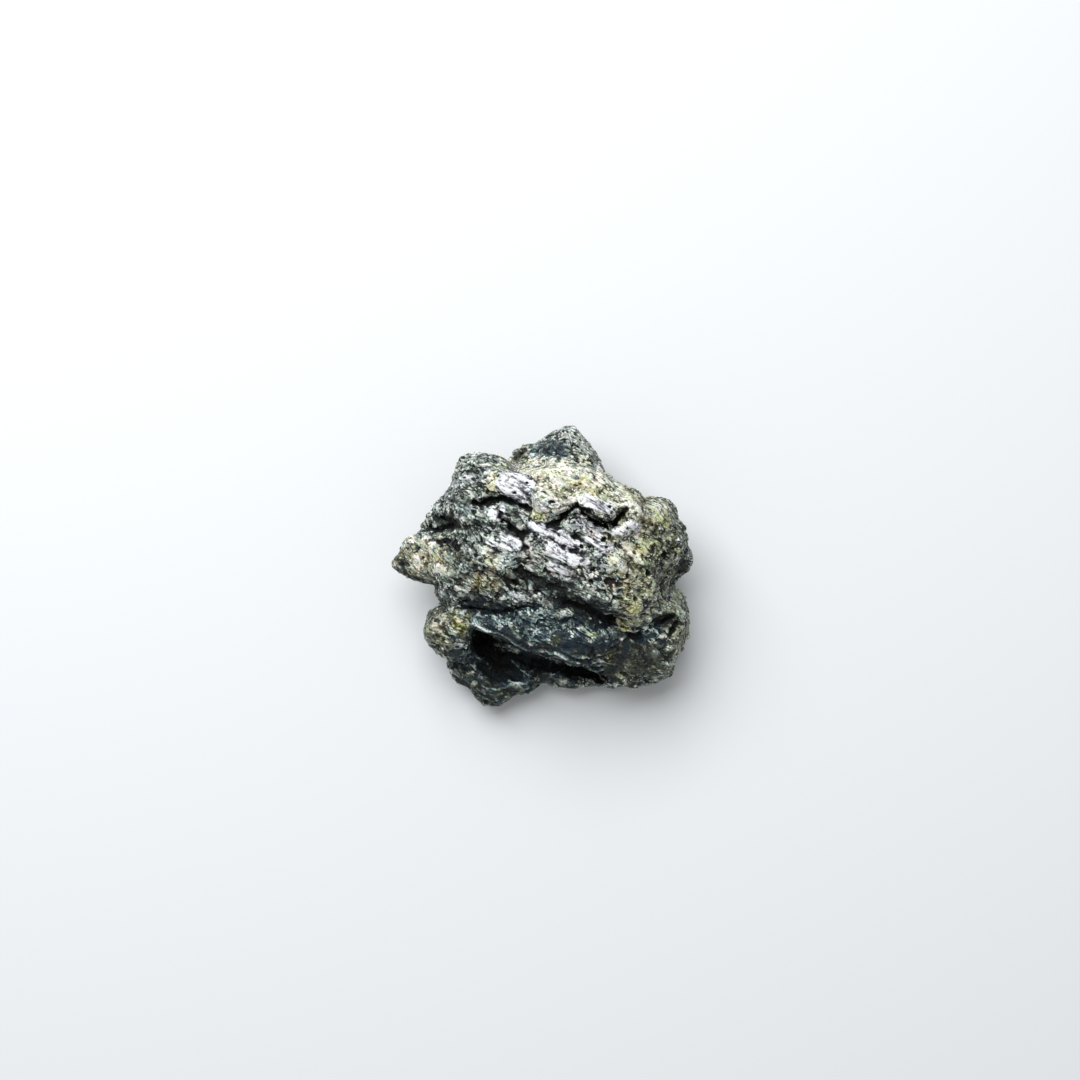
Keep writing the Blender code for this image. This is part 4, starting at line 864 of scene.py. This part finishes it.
def makeReliefTree(material):
    tree = newGeometryTree("relief of the stone", {name: "NodeSocketFloat" for name in relief})
    start = addNode(tree, "NodeGroupInput").outputs
    place = addNode(tree, "GeometryNodeInputPosition").outputs[0]
    cellPlace = turnedPlace(tree, place, cellStretch)
    height = 0.0
    for size in ("Large", "Medium", "Small"):
        perLength = addNode(tree, "ShaderNodeMath", {
            "operation": "DIVIDE", 0: 1.0, 1: start[f"{size} Size"]}).outputs[0]
        cells = addNode(tree, "ShaderNodeTexVoronoi", {"Vector": cellPlace, "Scale": perLength}).outputs
        edges = addNode(tree, "ShaderNodeTexVoronoi", {
            "feature": "DISTANCE_TO_EDGE", "Vector": cellPlace, "Scale": perLength}).outputs
        fromMiddle = addNode(tree, "ShaderNodeVectorMath", {
            "operation": "SUBTRACT", 0: cellPlace, 1: cells["Position"]}).outputs[0]
        lean = addNode(tree, "ShaderNodeVectorMath", {
            "operation": "MULTIPLY_ADD", 0: cells["Color"], 1: (2, 2, 2), 2: (-1, -1, -1)}).outputs[0]
        tilted = addNode(tree, "ShaderNodeVectorMath", {
            "operation": "DOT_PRODUCT", 0: fromMiddle, 1: lean}).outputs["Value"]
        summed = addNode(tree, "ShaderNodeVectorMath", {
            "operation": "DOT_PRODUCT", 0: cells["Color"], 1: (1, 1, 1)}).outputs["Value"]
        centred = weightedSum(tree, -1.5, [(summed, 1.0)])
        gap = addNode(tree, "ShaderNodeMapRange", {
            "interpolation_type": "SMOOTHSTEP", 0: edges["Distance"], 1: 0.0, 2: gapWidth,
            3: -1.0, 4: 0.0}).outputs[0]
        height = weightedSum(tree, height, [
            (tilted, start[f"{size} Tilt"]), (centred, start[f"{size} Lift"]), (gap, start[f"{size} Gap"])])
    for share, part, sign in ((spotShare(tree, cellPlace, "pits"), "Pit Depth", -1.0),
                              (spotShare(tree, cellPlace, "holes"), "Hole Depth", -1.0),
                              (spotShare(tree, cellPlace, "flecks"), "Fleck Height", 1.0),
                              (lineShare(tree, cellPlace, "creases"), "Crease Depth", -1.0)):
        height = weightedSum(tree, height, [(weightedSum(tree, 0.0, [(share, start[part])]), sign)])
    streak = weightedSum(tree, -0.5, [(streakNoise(tree, cellPlace), 1.0)])
    height = weightedSum(tree, height, [(streak, start["Streak Height"])])
    rough = addNode(tree, "GeometryNodeInputNamedAttribute", {"data_type": "FLOAT", "Name": "rough"}).outputs[0]
    height = weightedSum(tree, start["Raised"], [(height, rough)])
    # The foot stays flat
    level = addNode(tree, "ShaderNodeSeparateXYZ", {0: place}).outputs["Z"]
    low, high = aboveFoot["relief"]
    clear = addNode(tree, "ShaderNodeMapRange", {0: level, 1: low, 2: high}).outputs[0]
    height = weightedSum(tree, 0.0, [(height, clear)])
    normal = addNode(tree, "GeometryNodeInputNormal").outputs[0]
    offset = addNode(tree, "ShaderNodeVectorMath", {
        "operation": "SCALE", 0: normal, "Scale": height}).outputs[0]
    stored = addNode(tree, "GeometryNodeStoreNamedAttribute", {
        "data_type": "FLOAT_VECTOR", "domain": "POINT", "Name": "cellPlace",
        "Geometry": start["Geometry"], "Value": cellPlace}).outputs[0]
    moved = addNode(tree, "GeometryNodeSetPosition", {"Geometry": stored, "Offset": offset}).outputs[0]
    return finishTree(tree, moved, material)


addTreeModifier(body, makeReliefTree(stoneMaterial), relief)
plainMesh(body)
thin = body.modifiers.new("Thin", "DECIMATE")
thin.ratio = stone["triangles"] / (len(body.data.polygons) * 2)
plainMesh(body)
print("stage: relief", len(body.data.polygons))


cavities = {"steps": 40, "normalSteps": 10, "deepest": 0.9}


def paintCavities(piece):
    # Above 0.5 on what stands proud, below it in what lies deep. The colour uses it for painted light on proud
    # places and painted shade in deep ones.
    mesh = piece.data
    edges = meshEdges(mesh)
    points = readVectors(mesh.vertices, "co")
    around = smoothed(points.copy(), edges, cavities["steps"])
    normals = smoothed(readVectors(mesh.vertices, "normal"), edges, cavities["normalSteps"])
    height = np.sum((points - around) * normals, axis=1)
    writeValues(mesh, "proud", np.clip(0.5 + height / cavities["deepest"], 0, 1))


paintCavities(body)
print("stage: cavities")


# Epidote in the mass, with amphibole and quartz grown through it: each grain shows one tone, the
# gaps between grains are dark, fresh faces are pistachio yellow and the blades are glassy. The blades'
# pale lavender-white is partly their own colour, partly painted reflection on their glassy faces.
minerals = {
    "grey": ("#060a09", "#232a28", "#59655e", "#969f98", "#e2e6e2"),
    "yellow": ("#1a1a13", "#4a4c3b", "#8c8e76", "#c5c7ae", "#f2f2e8"),
    "olive": ("#050a07", "#222920", "#515848", "#7f866f", "#bdc2ac"),
    "blue": ("#051e29", "#13222b", "#415356", "#7f9794", "#dde8e2"),
    # The blades' ramp runs to near white: partly their own pale colour, partly painted reflection
    "blade": ("#1a191f", "#5e5f67", "#a0a2a8", "#cfd2d6", "#f2f4f6"),
    "pistachio": ("#1c1c0c", "#4c4e26", "#8a8c50", "#bcc07e", "#e4e5b4"),
}
toneSteps = (0.0, 0.3, 0.5, 0.7, 1.0)
# Widths of what the colour shows: the relief's grains, specks, fibres and mineral patches
speckle = {
    "small": relief["Small Size"], "medium": relief["Medium Size"], "speck": 0.17, "fibre": 0.3,
    "mottle": 0.6, "own": 0.55,
}
fibreStretch = (0.22, 1, 1)
# How far each pattern or zone moves the tone, along a mineral's ramp from 0, dark, to 1, light
# pale, dark, hollow, proud and ridge partly paint light and shade into the tone
toneWeights = {
    "middle": 0.6, "grain": 0.2, "mottle": 0.5, "streak": 0.9, "speck": 0.9, "gap": 0.14, "mark": -0.55,
    "markOnPale": 0.2, "fleck": 0.42, "fibre": -0.6, "pale": 0.16, "dark": -0.72, "hollow": -0.9, "proud": 0.8,
    "blade": 0.08, "vein": 0.2, "ridge": 0.45,
}


# Where a pattern starts and ends, on the scale of its own noise
patternEdges = {"mineral": (0.12, 0.85), "gap": (0.0, 0.08), "fibre": (0.52, 0.68), "gloss": (0.3, 0.7)}
# Massive epidote, broken and weathered: dull in the hollows, glassy on the blades' cleavage faces
stoneFinish = {
    "roughness": (0.38, 0.62), "hollowRoughness": 0.3, "bladeRoughness": -0.12,
    "ior": 1.6, "specular": 0.3, "bumpStrength": 0.7, "bumpDepth": 0.06, "speckBump": 0.5,
    "grainTints": (("#f4fffa", "#fff1f8"), ("#f3f6ff", "#fffff6")), "bladeTint": -0.75, "rust": "#b87860",
}


def mineralShare(tree, name, mottle):
    # The zones' soft shares break up into patches, so that minerals interlock
    share = addNode(tree, "ShaderNodeAttribute", {"attribute_name": name}).outputs["Fac"]
    if mottle is None:
        return share
    shaken = weightedSum(tree, -0.5, [(mottle, 1.0), (share, 1.0)])
    start, end = patternEdges["mineral"]
    return addNode(tree, "ShaderNodeMapRange", {
        "interpolation_type": "SMOOTHSTEP", 0: shaken, 1: start, 2: end, 3: 0.0, 4: 1.0}).outputs[0]


def mineralColour(tree, tone, mottles=None):
    # One ramp for each mineral, mixed by the zones
    colour = None
    for number, (name, steps) in enumerate(minerals.items()):
        ramp = addNode(tree, "ShaderNodeValToRGB", {0: tone})
        ramp.color_ramp.elements[0].color = linearColour(steps[0])
        ramp.color_ramp.elements[1].color = linearColour(steps[-1])
        for place, step in zip(toneSteps[1:-1], steps[1:-1]):
            ramp.color_ramp.elements.new(place).color = linearColour(step)
        if colour is None:
            colour = ramp.outputs[0]
            continue
        share = mineralShare(tree, name, mottles[number % 3] if mottles and name != "blade" else None)
        colour = addNode(tree, "ShaderNodeMix", {
            "data_type": "RGBA", 0: share, 6: colour, 7: ramp.outputs[0]}).outputs[2]
    return colour


def zonedTone(tree, tone, shares):
    # Painted light and shade: pale zones and proud places are lighter, dark zones, hollows and deep places
    # darker. The pale and dark zones are partly the minerals' own tones.
    tone = weightedSum(tree, tone, [(shares["pale"], toneWeights["pale"])])
    kept = weightedSum(tree, 1.0, [(shares["dark"], toneWeights["dark"])])
    return weightedSum(tree, -toneWeights["proud"] / 2, [
        (tone, kept), (shares["hollow"], toneWeights["hollow"]), (shares["proud"], toneWeights["proud"])])


def finishStoneMaterial(tree, shader):
    cellPlace = addNode(tree, "ShaderNodeAttribute", {"attribute_name": "cellPlace"}).outputs["Vector"]
    shares = {name: addNode(tree, "ShaderNodeAttribute", {"attribute_name": name}).outputs["Fac"]
              for name in ("pale", "dark", "proud", "blade", "facet", "ridge", "hollow", "rust")}
    smooth = addNode(tree, "ShaderNodeMath", {
        "operation": "MAXIMUM", 0: shares["blade"], 1: shares["facet"]}).outputs[0]
    drawn = []
    for name in ("small", "medium", "own"):
        cells = addNode(tree, "ShaderNodeTexVoronoi", {"Vector": cellPlace, "Scale": 1 / speckle[name]})
        drawn.append(addNode(tree, "ShaderNodeSeparateColor", {0: cells.outputs["Color"]}).outputs)
    small, medium, own = drawn
    noises = []
    for name in ("speck", "mottle"):
        noises.append(addNode(tree, "ShaderNodeTexNoise", {
            "Vector": cellPlace, "Scale": 1 / speckle[name], "Detail": 2.0}).outputs)
    specks = noises[0][0]
    mottles = addNode(tree, "ShaderNodeSeparateColor", {0: noises[1]["Color"]}).outputs
    mixed = [addNode(tree, "ShaderNodeMix", {
        "data_type": "FLOAT", 0: 0.5, 2: mottles[channel], 3: own[channel]}).outputs[0] for channel in range(3)]
    streak = streakNoise(tree, cellPlace)
    # Every term swings round nothing, so the middle tone stays where the zones put it
    swings = [(small[0], "grain"), (medium[1], "grain"), (mottles[0], "mottle"),
              (streak, "streak"), (specks, "speck")]
    middle = toneWeights["middle"] - sum(toneWeights[name] for source, name in swings) / 2
    tone = weightedSum(tree, middle, [(source, toneWeights[name]) for source, name in swings])
    edges = addNode(tree, "ShaderNodeTexVoronoi", {
        "feature": "DISTANCE_TO_EDGE", "Vector": cellPlace, "Scale": 1 / speckle["small"]}).outputs[0]
    start, end = patternEdges["gap"]
    gap = addNode(tree, "ShaderNodeMapRange", {
        0: edges, 1: start, 2: end, 3: toneWeights["gap"], 4: 0.0}).outputs[0]
    marks = 0.0
    for share in (lineShare(tree, cellPlace, "creases"), lineShare(tree, cellPlace, "strokes"),
                  spotShare(tree, cellPlace, "pits"), spotShare(tree, cellPlace, "holes")):
        marks = addNode(tree, "ShaderNodeMath", {"operation": "MAXIMUM", 0: share, 1: marks}).outputs[0]
    light = addNode(tree, "ShaderNodeMath", {"operation": "MAXIMUM", 0: shares["pale"], 1: smooth}).outputs[0]
    lengthwise = addNode(tree, "ShaderNodeVectorMath", {
        "operation": "MULTIPLY", 0: cellPlace, 1: fibreStretch}).outputs[0]
    fibres = addNode(tree, "ShaderNodeTexNoise", {
        "Vector": lengthwise, "Scale": 1 / speckle["fibre"], "Detail": 2.0}).outputs[0]
    start, end = patternEdges["fibre"]
    fibre = addNode(tree, "ShaderNodeMapRange", {
        0: fibres, 1: start, 2: end, 3: 0.0, 4: toneWeights["fibre"]}).outputs[0]
    tone = weightedSum(tree, tone, [
        (gap, weightedSum(tree, -1.0, [(smooth, 1.0)])),
        (marks, weightedSum(tree, toneWeights["mark"], [(light, toneWeights["markOnPale"])])),
        (spotShare(tree, cellPlace, "flecks"), toneWeights["fleck"]), (fibre, shares["blade"])])
    # The ridges are lightened: painted highlight on the edges of the layers
    tone = weightedSum(tree, zonedTone(tree, tone, shares), [
        (shares["blade"], toneWeights["blade"]), (lineShare(tree, cellPlace, "veins"), toneWeights["vein"]),
        (shares["ridge"], toneWeights["ridge"])])
    colour = mineralColour(tree, tone, mixed)
    # Each grain leans a little to green or rose, and to blue or yellow
    tinted = weightedSum(tree, 1.0, [(shares["blade"], stoneFinish["bladeTint"])])
    layers = []
    for tint, (one, other) in zip((small[2], medium[2]), stoneFinish["grainTints"]):
        layers.append((tinted, addNode(tree, "ShaderNodeMix", {
            "data_type": "RGBA", 0: tint, 6: linearColour(one), 7: linearColour(other)}).outputs[2]))
    # Iron has stained the deeper places of some patches
    stain = weightedSum(tree, 0.0, [(shares["rust"], weightedSum(tree, 1.0, [(tone, -1.0)]))])
    layers.append((stain, linearColour(stoneFinish["rust"])))
    for share, layer in layers:
        colour = addNode(tree, "ShaderNodeMix", {
            "data_type": "RGBA", "blend_type": "MULTIPLY", 0: share, 6: colour, 7: layer}).outputs[2]
    tree.links.new(colour, shader.inputs["Base Color"])
    # Dull in the dark hollows, glassy on the blades
    start, end = patternEdges["gloss"]
    glassiest, dullest = stoneFinish["roughness"]
    gloss = addNode(tree, "ShaderNodeMapRange", {
        0: specks, 1: start, 2: end, 3: glassiest, 4: dullest}).outputs[0]
    deep = addNode(tree, "ShaderNodeMath", {
        "operation": "MAXIMUM", 0: shares["dark"], 1: shares["hollow"]}).outputs[0]
    dull = weightedSum(tree, gloss, [
        (deep, stoneFinish["hollowRoughness"]), (shares["blade"], stoneFinish["bladeRoughness"])])
    tree.links.new(dull, shader.inputs["Roughness"])
    bump = addNode(tree, "ShaderNodeBump", {
        "Strength": stoneFinish["bumpStrength"], "Distance": stoneFinish["bumpDepth"] * millimetre,
        "Height": weightedSum(tree, streak, [(specks, stoneFinish["speckBump"])])})
    tree.links.new(bump.outputs[0], shader.inputs["Normal"])
    shader.inputs["IOR"].default_value = stoneFinish["ior"]
    shader.inputs["Specular IOR Level"].default_value = stoneFinish["specular"]


finishStoneMaterial(stoneTree, stoneShader)


# Grains: small crystals that stand out of the stone, one piece for each mineral
grains = {
    "Spacing": 0.46,
    "Density": 30.0,   # before the spacing thins them out
    "Smallest": (0.16, 0.1, 0.06),
    "Largest": (0.38, 0.22, 0.1),
    "Wobble": (0.35, 0.35, 0.9),
    "Seed": 9,
}
# Hornblende: near-black green cleavage. Epidote: glassy grey-green. Quartz: cream to white.
# The tone of a grain runs up from the lowest by the spread.
grainKinds = {
    "hornblendeGrains": {"mineral": 0, "lowest": -0.18, "spread": 0.4,
                         "finish": "hornblendeCleaved", "roughness": 0.35, "ior": 1.65},
    "epidoteGrains": {"mineral": 1, "lowest": 0.22, "spread": 0.45,
                      "finish": "epidoteGranular", "roughness": 0.35, "ior": 1.73},
    "quartzGrains": {"mineral": 2, "lowest": 0.62, "spread": 0.4,
                     "finish": "quartzGranular", "roughness": 0.3, "ior": 1.54},
}
# A draw below the first border is dark, above the second pale. Zones shift it by these weights.
mineralBorders = {"dark": 0.36, "pale": 0.8}
# The pale and dark zones, partly painted light and shade, draw paler or darker grains and lighten or darken
# them
mineralShifts = {"pale": 0.35, "dark": -0.5}
grainTones = {"pale": 0.12, "dark": -0.2}
# How far a bare place thins the grains out
grainCover = {"from": 0.2, "to": 0.6, "onBare": 0.04}


def makeGrainTree(variants, material):
    tree = newGeometryTree("grains on the stone", {
        "Spacing": "NodeSocketFloat", "Density": "NodeSocketFloat", "Smallest": "NodeSocketVector",
        "Largest": "NodeSocketVector", "Wobble": "NodeSocketVector", "Mineral": "NodeSocketInt",
        "Seed": "NodeSocketInt"})
    start = addNode(tree, "NodeGroupInput").outputs
    shares = {name: addNode(tree, "GeometryNodeInputNamedAttribute", {
        "data_type": "FLOAT", "Name": name}).outputs[0]
        for name in ("pale", "dark", "proud", "hollow", "blade", "facet")}
    # Few grains on blades, facets and hollows, and none on the foot
    bare = 0.0
    for name in ("blade", "facet", "hollow"):
        bare = addNode(tree, "ShaderNodeMath", {"operation": "MAXIMUM", 0: shares[name], 1: bare}).outputs[0]
    place = addNode(tree, "GeometryNodeInputPosition").outputs[0]
    level = addNode(tree, "ShaderNodeSeparateXYZ", {0: place}).outputs["Z"]
    low, high = aboveFoot["grains"]
    clear = addNode(tree, "ShaderNodeMapRange", {0: level, 1: low, 2: high}).outputs[0]
    cover = addNode(tree, "ShaderNodeMapRange", {
        0: bare, 1: grainCover["from"], 2: grainCover["to"], 3: 1.0, 4: grainCover["onBare"]}).outputs[0]
    points = addNode(tree, "GeometryNodeDistributePointsOnFaces", {
        "distribute_method": "POISSON", "Mesh": start["Geometry"], "Distance Min": start["Spacing"],
        "Density Max": start["Density"], "Density Factor": weightedSum(tree, 0.0, [(cover, clear)]),
        "Seed": start["Seed"]})
    # The mineral of a grain is drawn from the shares at its place: 0 is dark, 1 is green, 2 is pale
    draw = addNode(tree, "FunctionNodeRandomValue", {
        "data_type": "FLOAT", "Seed": seeds["grainMineral"]}).outputs[1]
    lighter = weightedSum(tree, 0.0, [(shares[name], shift) for name, shift in mineralShifts.items()])
    # Proud places draw paler grains and deep places darker ones: painted light and shade
    fromProud = weightedSum(tree, -0.5, [(shares["proud"], 1.0)])
    drawn = weightedSum(tree, draw, [(weightedSum(tree, lighter, [(fromProud, 1.0)]), 1.0)])
    isDark = addNode(tree, "ShaderNodeMath", {
        "operation": "LESS_THAN", 0: drawn, 1: mineralBorders["dark"]}).outputs[0]
    isPale = addNode(tree, "ShaderNodeMath", {
        "operation": "GREATER_THAN", 0: drawn, 1: mineralBorders["pale"]}).outputs[0]
    wanted = addNode(tree, "FunctionNodeCompare", {
        "data_type": "FLOAT", "operation": "EQUAL", 0: weightedSum(tree, 1.0, [(isPale, 1.0), (isDark, -1.0)]),
        1: start["Mineral"], "Epsilon": 0.1}).outputs[0]
    kept = addNode(tree, "GeometryNodeSeparateGeometry", {
        "domain": "POINT", 0: points.outputs["Points"], 1: wanted}).outputs[0]
    rotation = alongCrystals(tree, points, start["Wobble"], seeds["grainTurn"])
    size = addNode(tree, "FunctionNodeRandomValue", {
        "data_type": "FLOAT_VECTOR", 0: start["Smallest"], 1: start["Largest"],
        "Seed": seeds["grainSize"]}).outputs[0]
    toned = addNode(tree, "FunctionNodeRandomValue", {
        "data_type": "FLOAT", "Seed": seeds["grainTone"]}).outputs[1]
    stored = addNode(tree, "GeometryNodeStoreNamedAttribute", {
        "data_type": "FLOAT", "domain": "INSTANCE", "Name": "tone",
        "Geometry": standOn(tree, kept, variants, rotation, size), "Value": toned}).outputs[0]
    return finishTree(tree, stored, material)


def grainMaterial(kind):
    # Each grain has one tone of its mineral
    material, tree, shader = newMaterial(kind["finish"])
    shader.inputs["Roughness"].default_value = kind["roughness"]
    shader.inputs["IOR"].default_value = kind["ior"]
    tone = kind["lowest"]
    # The pale and dark zones shift the tone: partly painted light and shade
    for source, weight in {"tone": kind["spread"], **grainTones}.items():
        share = addNode(tree, "ShaderNodeAttribute", {"attribute_name": source}).outputs["Fac"]
        tone = weightedSum(tree, tone, [(share, weight)])
    tree.links.new(mineralColour(tree, tone), shader.inputs["Base Color"])
    return material


def finishPiece(piece, name):
    # Back to metres and inside the CAD box
    points = readVectors(piece.data.vertices, "co") * millimetre
    writePoints(piece, np.clip(points, np.array(cadBox[0]), np.array(cadBox[1])))
    piece.name = name
    piece.data.name = name
    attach(piece, "root")
    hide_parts(nodeName)


grainShapes = makeCrystalVariants("grainShape", grainCorners)
grainPieces = {}
for name, kind in grainKinds.items():
    piece = newPiece(name, body.data.copy())
    grainTree = makeGrainTree(grainShapes, grainMaterial(kind))
    addTreeModifier(piece, grainTree, {**grains, "Mineral": kind["mineral"]})
    plainMesh(piece)
    grainPieces[name] = piece
    print("stage:", name, len(piece.data.polygons))

finishPiece(body, "stoneBody")
for name, piece in grainPieces.items():
    finishPiece(piece, name)
for collection in (lathShapes, grainShapes):
    for shape in list(collection.objects):
        bpy.data.objects.remove(shape)
    bpy.data.collections.remove(collection)


# Room: pale card as a floor, matt so that it shows only a soft shadow, one soft lamp behind the
# far side, white sky
room = {
    "floorWidth": 1.2,         # metres
    "floorColour": "#d9dcdf",
    "floorRoughness": 0.7,
    "lampPlace": (-0.10, 0.22, 0.34),
    "lampSize": 0.34,
    "lampPower": 2.3,          # watts
    "skyStrength": 0.4,
}


def makeRoom():
    bm = bmesh.new()
    half = room["floorWidth"] / 2
    corners = ((-half, -half), (half, -half), (half, half), (-half, half))
    bm.faces.new([bm.verts.new((x, y, 0)) for x, y in corners])
    floor = newPiece("floor", meshOf(bm, "floor"))
    material, tree, shader = newMaterial("matteCard")
    shader.inputs["Base Color"].default_value = linearColour(room["floorColour"])
    shader.inputs["Roughness"].default_value = room["floorRoughness"]
    floor.data.materials.append(material)
    light = bpy.data.lights.new("softLamp", "AREA")
    light.size = room["lampSize"]
    light.energy = room["lampPower"]
    lamp = newPiece("softLamp", light)
    lamp.location = room["lampPlace"]
    lamp.rotation_euler = (-lamp.location).to_track_quat("-Z", "Y").to_euler()
    world = bpy.data.worlds.new("whiteSky")
    bpy.context.scene.world = world
    world.use_nodes = True
    world.node_tree.nodes["Background"].inputs[0].default_value = (1, 1, 1, 1)
    world.node_tree.nodes["Background"].inputs[1].default_value = room["skyStrength"]


# Camera: straight above, as in the photograph
view = {
    "photoWidth": 1080,        # pixels
    "pixelSize": 0.11,         # millimetres that a pixel spans at mid height
    "midHeight": 9.0,
    "cameraHeight": 270.0,
    "stoneMiddle": (542.5, 567.3),   # pixels
}


def makeCamera():
    camera = bpy.data.cameras.new("camera")
    eye = newPiece("camera", camera)
    middle = view["photoWidth"] / 2
    across = (middle - view["stoneMiddle"][0]) * view["pixelSize"] * millimetre
    up = (view["stoneMiddle"][1] - middle) * view["pixelSize"] * millimetre
    eye.location = (across, up, view["cameraHeight"] * millimetre)
    halfWidth = view["photoWidth"] * view["pixelSize"] / 2
    camera.lens = camera.sensor_width / 2 * (view["cameraHeight"] - view["midHeight"]) / halfWidth
    camera.clip_start = 0.01
    bpy.context.scene.camera = eye


makeRoom()
makeCamera()
print("stage: room and camera")
bpy.context.scene.view_settings.view_transform = "Standard"

print("stage: done")
